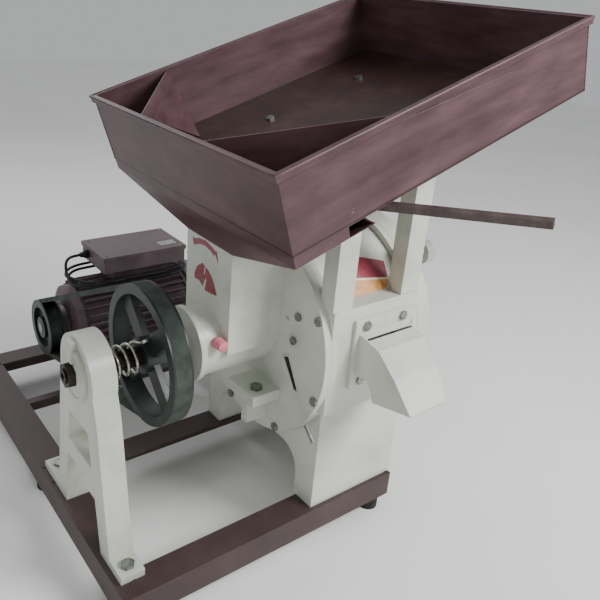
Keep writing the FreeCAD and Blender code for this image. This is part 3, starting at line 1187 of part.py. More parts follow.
node("motor_fan", cut("motor_fan", join("fan_blank", [fan_hub, fan_disc] + blades), [fan_bore]))
node("motor_shaft", rod("motor_shaft", "motor_shaft_radius",
                        "stator_right + 44 - pulley_left + 2",
                        ("pulley_left - 2", "motor_back", "motor_axis_height"), "x"))
armature = rod("armature_blank", "59.4", "stator_right - stator_left - 40",
               ("stator_left + 20", "motor_back", "motor_axis_height"), "x")
armature_bore = rod("armature_bore", "motor_shaft_radius", "400",
                    ("stator_left", "motor_back", "motor_axis_height"), "x")
node("motor_armature", cut("motor_armature", armature, [armature_bore]))

neck_bottom = "motor_axis_height + motor_core_radius + fin_height + 2"
neck = box("box_neck", ("box_neck_length", "box_neck_depth", f"box_bottom - ({neck_bottom}) + 1"),
           ("box_left + 40", "motor_back - box_neck_depth / 2", neck_bottom))
box_shell = box("box_shell", ("box_length", "box_depth", "box_height"),
                ("box_left", "box_front", "box_bottom"))
box_room = box("box_room", ("box_length - 8", "box_depth - 8", "box_height"),
               ("box_left + 4", "box_front + 4", "box_bottom + 4"))
gland_y = "box_front + box_depth - 40"
gland_z = "box_bottom + box_height / 2"
gland_hole = rod("gland_hole", "9", "30", ("box_left - 10", gland_y, gland_z), "x")
node("terminal_box", cut("terminal_box", join("terminal_box_blank", [neck, box_shell]),
                         [box_room, gland_hole]))
lid = box("lid_plate", ("box_length + 6", "box_depth + 6", "lid_height"),
          ("box_left - 3", "box_front - 3", "box_bottom + box_height - lid_height + 4"))
lid_room = box("lid_room", ("box_length + 0.4", "box_depth + 0.4", "lid_height"),
               ("box_left - 0.2", "box_front - 0.2", "box_bottom + box_height - lid_height"))
node("terminal_box_lid", cut("terminal_box_lid", lid, [lid_room]))

for_rails = []
for tag, left in (("left", "left_slide_rail"), ("right", "right_slide_rail")):
    tube = box(f"slide_tube_{tag}", ("slide_rail_width", "frame_depth - slide_rail_front - 4",
                                     "slide_rail_height"),
               (left, "slide_rail_front", "rail_top"))
    hollow = box(f"slide_hollow_{tag}", ("slide_rail_width - 2 * slide_rail_wall", "frame_depth",
                                         "slide_rail_height - 2 * slide_rail_wall"),
                 (f"{left} + slide_rail_wall", "slide_rail_front - 10",
                  "rail_top + slide_rail_wall"))
    holes = [rod(f"slide_hole_{tag}_{index}", "small_bolt_radius + bolt_clearance", "30",
                 (across, back, "motor_base - 20"))
             for index, (across, back) in enumerate(motor_bolt_places) if across.startswith(left)]
    for_rails.append(cut(f"slide_rail_{tag}", tube, [hollow] + holes))
node("motor_rails", group("motor_rails", for_rails))

# ------------------------------------------------------------------------------------- lead
# The supply lead leaves the terminal box through a gland, lies coiled round the box's neck on
# top of the motor, and its far end hangs behind the motor with the plug on it.
gland = turned("gland", [
    ("-gland_reach", "0"), ("-gland_reach", "gland_nose"), ("-gland_reach / 2", "gland_nose + 2"),
    ("-gland_reach / 2", "gland_nut"), ("0", "gland_nut"), ("0", "8.7"), ("4.3", "8.7"),
    ("4.3", "gland_nut"), ("9", "gland_nut"), ("9", "0")], ("box_left", gland_y, gland_z))
node("cable_gland", gland)


def stadium(name, radius, height, level):
    """A flat oval block round the two bend centres of the coil."""
    left_end = rod(name + "_left", radius, height, ("coil_left", "motor_back", level))
    right_end = rod(name + "_right", radius, height, ("coil_right", "motor_back", level))
    middle = box(name + "_middle", ("coil_right - coil_left", f"2 * ({radius})", height),
                 ("coil_left", f"motor_back - ({radius})", level))
    return join(name, [left_end, right_end, middle])


coil_bottom = "motor_axis_height + motor_core_radius + fin_height + seat_gap"
node("power_cable_coil", cut(
    "power_cable_coil",
    stadium("coil_outside", "coil_bend + coil_width / 2", "coil_height", coil_bottom),
    [stadium("coil_inside", "coil_bend - coil_width / 2", "coil_height + 2",
             coil_bottom + " - 1")]))

lead_start = Vector(num("box_left - gland_reach"), num(gland_y), num(gland_z))
coil_top = num(coil_bottom + " + coil_height")
coil_end = num("coil_left - coil_bend")
lead_path = [(lead_start.x, lead_start.y, lead_start.z),
             (lead_start.x - 17, lead_start.y, lead_start.z),
             (lead_start.x - 34, lead_start.y - 5, lead_start.z - 1),
             (coil_end + 7, lead_start.y - 13, coil_top + 27.7),
             (coil_end + 1.5, lead_start.y - 21, coil_top + 14.7),
             (coil_end + 1.5, lead_start.y - 21, coil_top)]
coil_rear = num("motor_back + coil_bend + coil_width / 2")
tail_along = num("coil_left + 120")
plug_back, plug_top = coil_rear + 62, num("motor_axis_height") + 35
tail_path = [(tail_along, coil_rear, coil_top - 13),
             (tail_along, coil_rear + 22, coil_top - 13),
             (tail_along + 1, coil_rear + 42, coil_top - 21),
             (tail_along + 3, coil_rear + 55, coil_top - 41),
             (tail_along + 2, coil_rear + 60, coil_top - 64),
             (tail_along + 4, plug_back, plug_top + 21),
             (tail_along + 4, plug_back, plug_top)]
cable_radius = num("cable_radius")
node("power_cable_lead", feature("power_cable_lead", round_tube(lead_path, cable_radius),
                                 ("0", "0", "0")))
node("power_cable_tail", feature("power_cable_tail", round_tube(tail_path, cable_radius),
                                 ("0", "0", "0")))
plug_place = (str(tail_along + 4), str(plug_back), str(plug_top))
plug_shell = turned("plug_shell", [
    ("0", "0"), ("0", "cable_radius + 2"), ("14", "cable_radius + 5"),
    ("22", "plug_radius - 2"), ("26", "plug_radius"), ("plug_length - 3", "plug_radius"),
    ("plug_length", "plug_radius - 3"), ("plug_length", "0")], plug_place,
    turn=Rotation(Vector(0, 1, 0), 90))
plug_pins = [rod(f"plug_pin_{index}", "2.4", "20", (f"{tail_along + 4} + {across}",
                                                   f"{plug_back} + {back}",
                                                   f"{plug_top} - plug_length - 19"))
             for index, (across, back) in enumerate([(-9.5, 0), (9.5, 0)])]
node("power_plug", join("power_plug", [plug_shell] + plug_pins))

# ------------------------------------------------------------------------------ check, write
doc.recompute()
failed = [obj.Name for obj in doc.Objects if "Invalid" in obj.State or "Error" in obj.State]
if failed:
    raise RuntimeError("not rebuilt: " + ", ".join(failed))
for part_node in nodes:
    shape = part_node.Shape
    if shape.isNull() or not shape.isValid() or not shape.Solids:
        raise RuntimeError("bad shape: " + part_node.Label)
for part_node in nodes:
    part_node.Shape.exportStep(f"parts/{part_node.Label}.step")
    print(part_node.Label, len(part_node.Shape.Solids), round(part_node.Shape.Volume / 1000, 1))
print(len(nodes), "nodes")
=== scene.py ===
import math
import bmesh
import bpy
from mathutils import Matrix, Vector


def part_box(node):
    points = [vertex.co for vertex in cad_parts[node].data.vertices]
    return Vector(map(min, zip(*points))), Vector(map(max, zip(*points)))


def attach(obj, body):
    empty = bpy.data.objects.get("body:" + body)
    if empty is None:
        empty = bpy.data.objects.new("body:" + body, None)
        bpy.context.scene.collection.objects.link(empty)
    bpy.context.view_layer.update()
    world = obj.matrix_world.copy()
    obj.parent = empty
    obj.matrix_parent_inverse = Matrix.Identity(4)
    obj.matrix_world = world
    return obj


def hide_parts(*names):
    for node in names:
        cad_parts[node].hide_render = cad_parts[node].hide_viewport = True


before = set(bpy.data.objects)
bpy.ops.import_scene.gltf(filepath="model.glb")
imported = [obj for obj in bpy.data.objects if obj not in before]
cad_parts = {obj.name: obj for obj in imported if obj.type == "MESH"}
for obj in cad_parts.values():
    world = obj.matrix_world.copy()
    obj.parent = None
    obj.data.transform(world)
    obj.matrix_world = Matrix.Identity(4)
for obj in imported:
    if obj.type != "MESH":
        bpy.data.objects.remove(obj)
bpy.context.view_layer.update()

# ------------------------------------------------------------------------- floor and viewpoint
# A plain pale floor under a soft studio: one broad light from the front right, a weaker one from
# the left and one behind, seen from the pedestal's front corner.
CAMERA_PLACE = Vector((-0.8943, -1.23825, 1.21476))
CAMERA_AXES = (Vector((0.791362, -0.605971, 0.080909)), Vector((0.176758, 0.353485, 0.918588)),
               Vector((-0.585238, -0.712634, 0.386845)))
LENS_MM = 41.29
camera_data = bpy.data.cameras.new("main_camera")
camera_data.lens = LENS_MM
camera_data.sensor_width = 36
camera_data.shift_x = 0.0145
camera_data.shift_y = -0.0492
camera = bpy.data.objects.new("main_camera", camera_data)
camera.matrix_world = Matrix.Translation(CAMERA_PLACE) @ Matrix(CAMERA_AXES).transposed().to_4x4()
bpy.context.scene.collection.objects.link(camera)
bpy.context.scene.camera = camera


def srgb(code):
    """A hex colour as linear red, green, blue and alpha."""
    parts = [int(code[place:place + 2], 16) / 255 for place in (1, 3, 5)]
    return [part / 12.92 if part <= 0.04045 else ((part + 0.055) / 1.055) ** 2.4
            for part in parts] + [1.0]


def add_node(tree, kind, sockets=(), stops=(), feeds=None, **settings):
    """Adds one shader node with its settings and links.

    Its sockets are linked or set, stops are a ramp's places and hex colours, and feeds is the
    shader's socket that takes its result.
    """
    made = tree.nodes.new("ShaderNode" + kind)
    for name, value in settings.items():
        setattr(made, name, value)
    for socket, value in dict(sockets).items():
        if isinstance(value, bpy.types.NodeSocket):
            tree.links.new(value, made.inputs[socket])
        else:
            made.inputs[socket].default_value = value
    marks = made.color_ramp.elements if stops else ()
    while len(marks) < len(stops):
        marks.new(0.5)
    for mark, (place, code) in zip(marks, stops):
        mark.position = place
        mark.color = srgb(code)
    if feeds:
        tree.links.new(next(output for output in made.outputs if output.enabled), feeds)
    return made


def start_material(name, **sockets):
    """A new material, its node tree and its shader, with the shader's constant sockets set."""
    material = bpy.data.materials.new(name)
    material.use_nodes = True
    tree = material.node_tree
    shader = tree.nodes["Principled BSDF"]
    for socket, value in sockets.items():
        shader.inputs[socket.replace("_", " ")].default_value = value
    return material, tree, shader


# Poured and sealed floor: nearly white, with a faint cloudiness that keeps it from looking flat.
floor_finish, tree, shader = start_material("sealed_floor", Roughness=0.7)
place = add_node(tree, "TexCoord").outputs["Object"]
cloud = add_node(tree, "TexNoise", {"Vector": place, "Scale": 1.5, "Detail": 3})
add_node(tree, "ValToRGB", {0: cloud.outputs["Fac"]}, stops=((0.3, "#F1F1EF"), (0.7, "#F7F7F5")),
         feeds=shader.inputs["Base Color"])
floor_shape = bmesh.new()
FLOOR_REACH = 8
bmesh.ops.create_grid(floor_shape, x_segments=1, y_segments=1, size=FLOOR_REACH)
floor_mesh = bpy.data.meshes.new("studio_floor")
floor_shape.to_mesh(floor_mesh)
floor_shape.free()
floor_mesh.materials.append(floor_finish)
studio_floor = bpy.data.objects.new("studio_floor", floor_mesh)
bpy.context.scene.collection.objects.link(studio_floor)

# Each light: its place, the point it faces, its width in metres and its power in watts.
for name, place, aim, size, power in (
        ("key_light", (1.3, -2.4, 2.6), (0, 0, 0.6), 1.3, 125),
        ("fill_light", (-2.6, -0.4, 1.5), (0, 0, 0.5), 1.8, 4),
        ("back_light", (-0.4, 2.6, 2.4), (0, 0, 0.6), 1.6, 24)):
    light_data = bpy.data.lights.new(name, "AREA")
    light_data.size = size
    light_data.energy = power
    light = bpy.data.objects.new(name, light_data)
    light.location = place
    light.rotation_euler = (Vector(aim) - Vector(place)).to_track_quat("-Z", "Y").to_euler()
    bpy.context.scene.collection.objects.link(light)
studio = bpy.data.worlds.new("studio")
studio.use_nodes = True
surround = studio.node_tree.nodes["Background"]
surround.inputs["Color"].default_value = srgb("#F4F6F8")
surround.inputs["Strength"].default_value = 0.52
bpy.context.scene.world = studio

# --------------------------------------------------------------------------------- supply lead
# A rubber-sheathed three-core lead: out of the terminal box's gland, coiled loosely round the
# box's neck on top of the motor, then down behind the motor to its plug.
CORNER = Vector(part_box("front_rail")[0])  # the frame's front left lower corner


def at(across, back, up):
    """A point in metres from millimetres along the frame, behind its front, and off the floor."""
    return Vector((CORNER.x + across / 1000, CORNER.y + back / 1000, up / 1000))


def wire(name, route, radius, resolution, order, material):
    """A round wire along a smooth line that is steered by points in mm on the frame."""
    curve = bpy.data.curves.new(name, "CURVE")
    curve.dimensions = "3D"
    curve.bevel_depth = radius
    curve.bevel_resolution = 3
    curve.resolution_u = resolution
    curve.use_fill_caps = True
    line = curve.splines.new("NURBS")
    line.points.add(len(route) - 1)
    for point, corner in zip(line.points, route):
        point.co = (*at(*corner), 1)
    line.order_u = order
    line.use_endpoint_u = True
    curve.materials.append(material)
    piece = bpy.data.objects.new(name, curve)
    bpy.context.scene.collection.objects.link(piece)
    return piece


LEAD_RADIUS = 0.004
lead_finish, tree, shader = start_material("moulded_rubber_sheath", Roughness=0.55,
                                           Specular_IOR_Level=0.4)
# Extruded rubber is near black with a dull skin and a fine grain where it has rubbed.
place = add_node(tree, "TexCoord").outputs["Object"]
rubbed = add_node(tree, "TexNoise", {"Vector": place, "Scale": 60, "Detail": 4})
add_node(tree, "ValToRGB", {0: rubbed.outputs["Fac"]}, stops=((0.35, "#17181A"), (0.7, "#2A2B2C")),
         feeds=shader.inputs["Base Color"])
add_node(tree, "Bump", {"Height": rubbed.outputs["Fac"], "Strength": 0.25, "Distance": 0.0005},
         feeds=shader.inputs["Normal"])

COIL_LEFT, COIL_RIGHT, COIL_BACK = 300, 505, 845
lead_route = [(279, 882, 447), (262, 882, 447), (245, 877, 446), (233, 869, 439),
              (228, 861, 426), (226.5, 850, 411), (227, 836, 404.5)]
# Each turn of the coil is a long loop: two straight runs and two round ends. It has a bend radius,
# a height on the left, front, right and rear, and a slight wander from the loop. A station is the
# place along the coil that it turns about, its angle round that place, and its height.
for turn, (bend, levels, wander) in enumerate((
        (75, (404, 405, 404, 402), 1.5), (69.5, (391, 390.5, 391, 391), 1.0),
        (82, (391.5, 392, 390.5, 392), 1.2))):
    stations = []
    for angle in (205, 232, 256):
        stations.append((COIL_LEFT, angle, levels[0]))
    for along in (335, 385, 440, 480):
        stations.append((along, 270, levels[1]))
    for angle in (290, 320, 350, 380, 410, 434):
        stations.append((COIL_RIGHT, angle, levels[2]))
    for along in (490, 455):
        stations.append((along, 450, levels[3]))
    if turn < 2:
        for along in (410, 360, 320):
            stations.append((along, 450, levels[3]))
        for angle in (110, 138, 166, 188):
            stations.append((COIL_LEFT, angle, (levels[3] + levels[0]) / 2))
    if turn == 0:
        stations = stations[1:]
    for step, (along, angle, level) in enumerate(stations):
        reach = bend + wander * math.sin(2.1 * step + 1.7 * turn)
        lead_route.append((along + reach * math.cos(math.radians(angle)),
                           COIL_BACK + reach * math.sin(math.radians(angle)), level))
lead_route += [(434, 929, 395), (422, 938, 398), (420, 953, 398), (421, 975, 390),
               (423, 988, 370), (422, 993, 347), (424, 995, 321), (424, 995, 300)]
supply_lead = wire("supply_lead", lead_route, LEAD_RADIUS, 5, 3, lead_finish)
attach(supply_lead, "root")
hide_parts("power_cable_lead", "power_cable_coil", "power_cable_tail")

# ------------------------------------------------------------------------- gland and lead's plug
# Injection-moulded black nylon: a compression gland with a hex nut, and a rewirable plug with
# moulded grips.


def finish_nodes(material, *names):
    """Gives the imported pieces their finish."""
    for name in names:
        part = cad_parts[name]
        if not part.material_slots:
            part.data.materials.append(material)
        for held in part.material_slots:
            held.material = material


nylon, tree, shader = start_material("moulded_black_nylon", Specular_IOR_Level=0.5)
# A fine spark texture from the mould breaks up the gloss; nothing is printed on it.
place = add_node(tree, "TexCoord").outputs["Object"]
spark = add_node(tree, "TexNoise", {"Vector": place, "Scale": 900, "Detail": 2})
handled = add_node(tree, "TexNoise", {"Vector": place, "Scale": 40, "Detail": 3})
add_node(tree, "ValToRGB", {0: handled.outputs["Fac"]},
         stops=((0.3, "#141414"), (0.75, "#262524")), feeds=shader.inputs["Base Color"])
add_node(tree, "MapRange", {"Value": handled.outputs["Fac"], "To Min": 0.32, "To Max": 0.5},
         feeds=shader.inputs["Roughness"])
add_node(tree, "Bump", {"Height": spark.outputs["Fac"], "Strength": 0.2, "Distance": 0.0002},
         feeds=shader.inputs["Normal"])
finish_nodes(nylon, "cable_gland", "power_plug", "motor_fan")

# ---------------------------------------------------------------------------------- base frame
# Mitred and welded 65 mm angle iron with a cross bar and two slide rails for the motor, painted
# in one coat of oxide enamel.
oxide_paint, tree, shader = start_material("brushed_oxide_enamel", Coat_Weight=0.12,
                                           Coat_Roughness=0.35)
# Brushed workshop enamel over hot-rolled angle: dull, dusty on flats, with streaks and chips.
place = add_node(tree, "TexCoord").outputs["Object"]
drift = add_node(tree, "TexNoise", {"Vector": place, "Scale": 9, "Detail": 6, "Roughness": 0.62})
body_colour = add_node(tree, "ValToRGB", {0: drift.outputs["Fac"]},
                       stops=((0.25, "#2E2020"), (0.5, "#3F2D2C"),
                              (0.78, "#503E3B"))).outputs["Color"]
flecks = add_node(tree, "TexNoise", {"Vector": place, "Scale": 140, "Detail": 5})
chips = add_node(tree, "MapRange", {"Value": flecks.outputs["Fac"], "From Min": 0.66,
                                    "From Max": 0.70})
add_node(tree, "Mix", {"Factor": chips.outputs["Result"], "A": body_colour, "B": srgb("#2E2422")},
         data_type="RGBA", feeds=shader.inputs["Base Color"])
add_node(tree, "MapRange", {"Value": drift.outputs["Fac"], "To Min": 0.42, "To Max": 0.7},
         feeds=shader.inputs["Roughness"])
add_node(tree, "Bump", {"Height": flecks.outputs["Fac"], "Strength": 0.35, "Distance": 0.0006},
         feeds=shader.inputs["Normal"])
finish_nodes(oxide_paint, "front_rail", "right_rail", "rear_rail", "left_rail", "middle_rail",
             "motor_support_bar", "motor_rails")


def add_piece(name, shape, materials, body, slot, soft_angle=35, *stands_for):
    """Makes the finished mesh an object on its body, smooth except at its sharp edges."""
    bmesh.ops.recalc_face_normals(shape, faces=shape.faces)
    mesh = bpy.data.meshes.new(name)
    shape.to_mesh(mesh)
    shape.free()
    for material in materials:
        mesh.materials.append(material)
    for face in mesh.polygons:
        face.use_smooth = True
    mesh.set_sharp_from_angle(angle=math.radians(soft_angle))
    piece = bpy.data.objects.new(name, mesh)
    bpy.context.scene.collection.objects.link(piece)
    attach(piece, body)
    if stands_for:
        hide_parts(*stands_for)
    return piece


def bead(shape, points, radius, sides=8, ripple=0.25, closed=False):
    """Adds a rippled round bead, such as a weld or a rolled rim, along straight runs.

    A ring of vertices comes about every 2.2 radii, and ripple is the share by which they swell.
    """
    points = [Vector(point) for point in points]
    stations = []
    spans = list(zip(points, points[1:] + points[:1])) if closed else list(zip(points, points[1:]))
    for start, end in spans:
        count = max(2, int((end - start).length / (2.2 * radius)))
        stations += [start.lerp(end, step / count) for step in range(count)]
    if not closed:
        stations.append(points[-1])
    rings = []
    for index, centre in enumerate(stations):
        before = stations[index - 1] if index or closed else centre
        after = stations[(index + 1) % len(stations)] if closed or index + 1 < len(stations) \
            else centre
        heading = (after - before).normalized()
        swell = radius * (1 + ripple * math.sin(index * 2.4) * 0.5)
        made = bmesh.ops.create_circle(shape, segments=sides, radius=swell)
        turn = heading.to_track_quat("Z", "Y").to_matrix().to_4x4()
        bmesh.ops.transform(shape, matrix=Matrix.Translation(centre) @ turn, verts=made["verts"])
        rings.append(list({edge for vert in made["verts"] for edge in vert.link_edges}))
    pairs = list(zip(rings, rings[1:])) + ([(rings[-1], rings[0])] if closed else [])
    for ring, following in pairs:
        bmesh.ops.bridge_loops(shape, edges=ring + following)
    if not closed:
        bmesh.ops.holes_fill(shape, edges=rings[0] + rings[-1], sides=sides)


# Weld beads on the frame's mitres and where the cross bar's two edges meet the side rails.
RAIL_TOP, FRAME_LENGTH, FRAME_DEPTH, RAIL_WIDTH = 105, 713, 1035, 65
BAR_EDGES, BAR_START, BAR_WELD, BEAD_INSET = (396, 457), 5, 55, 3
MITRE_BEAD, BAR_BEAD = 0.0022, 0.002
frame_welds = bmesh.new()
for across, inward in ((0, 1), (FRAME_LENGTH, -1)):
    for back, behind in ((0, 1), (FRAME_DEPTH, -1)):
        ends = [at(across + inward * inset, back + behind * inset, RAIL_TOP)
                for inset in (BEAD_INSET, RAIL_WIDTH - BEAD_INSET)]
        bead(frame_welds, ends, MITRE_BEAD)
for back in BAR_EDGES:
    for across in (BAR_START, FRAME_LENGTH - BAR_WELD - BAR_START):
        bead(frame_welds, [at(across, back, RAIL_TOP), at(across + BAR_WELD, back, RAIL_TOP)],
             BAR_BEAD)
add_piece("frame_weld_beads", frame_welds, [oxide_paint], "root", "frame_paint", 50)

# ------------------------------------------------------------------------------- levelling feet
# Six moulded rubber feet, each on a stem through the angle iron.
foot_rubber, tree, shader = start_material("moulded_black_rubber", Roughness=0.75,
                                           Specular_IOR_Level=0.3)
# Filled rubber is soot black where pressed and grey with floor dust above.
place = add_node(tree, "TexCoord").outputs["Object"]
dust = add_node(tree, "TexNoise", {"Vector": place, "Scale": 70, "Detail": 5})
add_node(tree, "ValToRGB", {0: dust.outputs["Fac"]}, stops=((0.35, "#1B1A19"), (0.75, "#3A3735")),
         feeds=shader.inputs["Base Color"])
add_node(tree, "Bump", {"Height": dust.outputs["Fac"], "Strength": 0.3, "Distance": 0.0005},
         feeds=shader.inputs["Normal"])
finish_nodes(foot_rubber, "frame_feet")

# ------------------------------------------------------------------------- castings, door, struts
# Grey-iron castings and the plate struts under the tray, filled and sprayed with one off-white
# satin enamel; the sand mould's texture shows through.
cast_enamel, tree, shader = start_material("sprayed_enamel_on_sand_cast_iron",
                                           Coat_Weight=0.25, Coat_Roughness=0.22)
# Sand-cast skin gives a soft orange peel; handling leaves grey-green smears and a few chips.
place = add_node(tree, "TexCoord").outputs["Object"]
smear = add_node(tree, "TexNoise", {"Vector": place, "Scale": 7, "Detail": 7, "Roughness": 0.6})
shade = add_node(tree, "ValToRGB", {0: smear.outputs["Fac"]},
                 stops=((0.22, "#B2B7AA"), (0.46, "#CDD1C5"), (0.72, "#DCDDD2"))).outputs["Color"]
nicks = add_node(tree, "TexNoise", {"Vector": place, "Scale": 85, "Detail": 6, "Roughness": 0.7})
bare = add_node(tree, "MapRange", {"Value": nicks.outputs["Fac"], "From Min": 0.715,
                                   "From Max": 0.74})
add_node(tree, "Mix", {"Factor": bare.outputs["Result"], "A": shade, "B": srgb("#6A6B62")},
         data_type="RGBA", feeds=shader.inputs["Base Color"])
add_node(tree, "MapRange", {"Value": smear.outputs["Fac"], "To Min": 0.28, "To Max": 0.5},
         feeds=shader.inputs["Roughness"])
sand = add_node(tree, "TexNoise", {"Vector": place, "Scale": 320, "Detail": 3})
waves = add_node(tree, "TexNoise", {"Vector": place, "Scale": 34, "Detail": 2})
edges = add_node(tree, "Bevel", {"Radius": 0.003}, samples=6)
skin = add_node(tree, "Bump", {"Height": sand.outputs["Fac"], "Strength": 0.22, "Distance": 0.0006,
                               "Normal": edges.outputs["Normal"]})
add_node(tree, "Bump", {"Height": waves.outputs["Fac"], "Strength": 0.3, "Distance": 0.002,
                        "Normal": skin.outputs["Normal"]}, feeds=shader.inputs["Normal"])
finish_nodes(cast_enamel, "bearing_pedestal", "pedestal_cover", "feed_end_casting",
             "housing_cover", "drum_casing", "outlet_spout", "mill_stand", "door",
             "hopper_struts")

# ---------------------------------------------------------------------------------- fasteners
# Zinc-plated hex bolts, washers, and the door's hinge pin.
zinc_plate, tree, shader = start_material("zinc_plated_steel", Metallic=1.0)
# Passivated zinc is a cool, slightly blotchy grey, brighter where a spanner has sat.
place = add_node(tree, "TexCoord").outputs["Object"]
blotch = add_node(tree, "TexNoise", {"Vector": place, "Scale": 90, "Detail": 5})
add_node(tree, "ValToRGB", {0: blotch.outputs["Fac"]}, stops=((0.3, "#6E7472"), (0.7, "#A7ABA4")),
         feeds=shader.inputs["Base Color"])
add_node(tree, "MapRange", {"Value": blotch.outputs["Fac"], "To Min": 0.28, "To Max": 0.55},
         feeds=shader.inputs["Roughness"])
finish_nodes(zinc_plate, "mill_bolts", "frame_bolts", "hopper_bolts", "door_hinge_pin")

# ---------------------------------------------------------------------- feed-end plate fittings
# On the drum's left face: a slot with a raised lip, its inside drawn as a thin dark sheet that is
# painted shade, two hex screws, a locating nub and a stub rod, all fixed to the feed end.
PLATE_LEFT, PLATE_SCREWS, NUB_PLACE = 432, ((77, 574), (86, 514)), (113, 551)
WINDOW_CORNERS = ((118, 462), (97, 472), (54, 400), (72, 399))
STUB_ROD = ((16, 343), (-13, 316))
FACING_LEFT = Matrix.Rotation(math.pi / 2, 4, "Y")


def thicken(shape, faces, offset):
    """Gives flat faces a thickness by pushing a copy of them along an offset in metres or mm."""
    grown = bmesh.ops.extrude_face_region(shape, geom=faces)
    bmesh.ops.translate(shape, vec=offset, verts=[part for part in grown["geom"]
                                                  if isinstance(part, bmesh.types.BMVert)])


def on_plate(proud, places):
    """Points at places back and up in mm that stand proud of the plate's face."""
    return [at(PLATE_LEFT - proud, back, up) for back, up in places]


# Painted shade: a thin dark sheet on the plate's face stands for the shade inside the slot.
slot_shade_sheet = bmesh.new()
slot_shade_face = slot_shade_sheet.faces.new(
    [slot_shade_sheet.verts.new(corner) for corner in on_plate(0.1, WINDOW_CORNERS)])
thicken(slot_shade_sheet, [slot_shade_face], (-0.0006, 0, 0))
add_piece("feed_slot_painted_shade", slot_shade_sheet, [foot_rubber], "root", "foot_rubber", 30)
window_lip = bmesh.new()
bead(window_lip, on_plate(0.6, WINDOW_CORNERS), 0.0026, ripple=0.0, closed=True)
bmesh.ops.create_cone(window_lip, cap_ends=True, segments=24, radius1=0.0055, radius2=0.007,
                      depth=0.006,
                      matrix=Matrix.Translation(on_plate(2.5, [NUB_PLACE])[0]) @ FACING_LEFT)
add_piece("feed_window_lip", window_lip, [cast_enamel], "root", "cast_enamel", 40)
plate_screws = bmesh.new()
for seat in on_plate(3, PLATE_SCREWS):
    bmesh.ops.create_cone(plate_screws, cap_ends=True, segments=6, radius1=0.0095, radius2=0.009,
                          depth=0.0065, matrix=Matrix.Translation(seat) @ FACING_LEFT)
bead(plate_screws, on_plate(5, STUB_ROD), 0.0048, sides=16, ripple=0.0)
add_piece("feed_plate_screws", plate_screws, [zinc_plate], "root", "zinc_steel", 30)

# ------------------------------------------------------------------- shaft, adjusting screw, nut
# Oiled mild steel: the turned shaft, the end screw and its lock nut, the hammers and armature.
oiled_steel, tree, shader = start_material("oiled_black_steel", Metallic=0.9)
# Oil and meal dust darken the steel; turned faces keep fine rings across the shaft.
place = add_node(tree, "TexCoord").outputs["Object"]
film = add_node(tree, "TexNoise", {"Vector": place, "Scale": 45, "Detail": 5})
add_node(tree, "ValToRGB", {0: film.outputs["Fac"]},
         stops=((0.3, "#26221F"), (0.62, "#4A443C"), (0.85, "#6B6253")),
         feeds=shader.inputs["Base Color"])
add_node(tree, "MapRange", {"Value": film.outputs["Fac"], "To Min": 0.3, "To Max": 0.6},
         feeds=shader.inputs["Roughness"])
rings = add_node(tree, "TexWave", {"Vector": place, "Scale": 260, "Distortion": 0.4})
add_node(tree, "Bump", {"Height": rings.outputs["Fac"], "Strength": 0.15, "Distance": 0.0003},
         feeds=shader.inputs["Normal"])
finish_nodes(oiled_steel, "adjusting_screw", "lock_nut", "main_shaft", "hammers_row_1",
             "hammers_row_2", "hammers_row_3", "hammers_row_4", "motor_armature")

# ------------------------------------------------------------- bearing rings, rotor and screen
# Ground and drawn bright steel inside the mill.
bright_steel, tree, shader = start_material("ground_bright_steel", Metallic=1.0)
# Grinding leaves a fine directional lay and a clean grey shine.
place = add_node(tree, "TexCoord").outputs["Object"]
lay = add_node(tree, "Mapping", {"Vector": place, "Scale": (8, 220, 220)})
grind = add_node(tree, "TexNoise", {"Vector": lay.outputs["Vector"], "Scale": 3, "Detail": 4})
add_node(tree, "ValToRGB", {0: grind.outputs["Fac"]}, stops=((0.3, "#8C8B86"), (0.7, "#B9B8B2")),
         feeds=shader.inputs["Base Color"])
add_node(tree, "MapRange", {"Value": grind.outputs["Fac"], "To Min": 0.2, "To Max": 0.42},
         feeds=shader.inputs["Roughness"])
finish_nodes(bright_steel, "bearing_outer_rings", "bearing_inner_rings", "pulley_key",
             "rotor_discs", "hammer_pins", "screen", "motor_shaft")

# --------------------------------------------------------------------------------- thrust spring
# A compression spring of hard-drawn wire between the shaft collar and the pulley, its last end
# hooked in beside the hub.
SHAFT_BACK, SHAFT_HEIGHT = 230, 486
COIL_RADIUS, WIRE_RADIUS, COIL_START, COIL_END, COIL_TURNS = 31, 0.0034, 73.9, 140.6, 3.5
STEPS_A_TURN = 12
step_count = int(STEPS_A_TURN * COIL_TURNS)
# The steering points stand a little outside the wire's centre line, which cuts their corners.
steer_radius = COIL_RADIUS / math.cos(math.pi / STEPS_A_TURN) * 1.01
spring_points = []
for step in range(step_count + 1):
    angle = 2 * math.pi * step / STEPS_A_TURN
    spring_points.append((COIL_START + (COIL_END - COIL_START) * step / step_count,
                          SHAFT_BACK + steer_radius * math.sin(angle),
                          SHAFT_HEIGHT - steer_radius * math.cos(angle)))
HOOK = ((140.8, 18, 38), (141.5, 25, 45), (146, 27, 47), (151, 27, 47))
spring_points += [(across, SHAFT_BACK - front, SHAFT_HEIGHT + above)
                  for across, front, above in HOOK]
drawn_wire, tree, shader = start_material("hard_drawn_spring_wire", Metallic=1.0)
# Drawn wire is bright with a faint straw tint and hairline die marks.
place = add_node(tree, "TexCoord").outputs["Object"]
marks = add_node(tree, "TexNoise", {"Vector": place, "Scale": 180, "Detail": 3})
add_node(tree, "ValToRGB", {0: marks.outputs["Fac"]}, stops=((0.3, "#A9A69B"), (0.7, "#D6D3C7")),
         feeds=shader.inputs["Base Color"])
add_node(tree, "MapRange", {"Value": marks.outputs["Fac"], "To Min": 0.18, "To Max": 0.36},
         feeds=shader.inputs["Roughness"])
coiled_spring = wire("coiled_spring", spring_points, WIRE_RADIUS, 4, 4, drawn_wire)
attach(coiled_spring, "rotor")
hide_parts("thrust_spring")

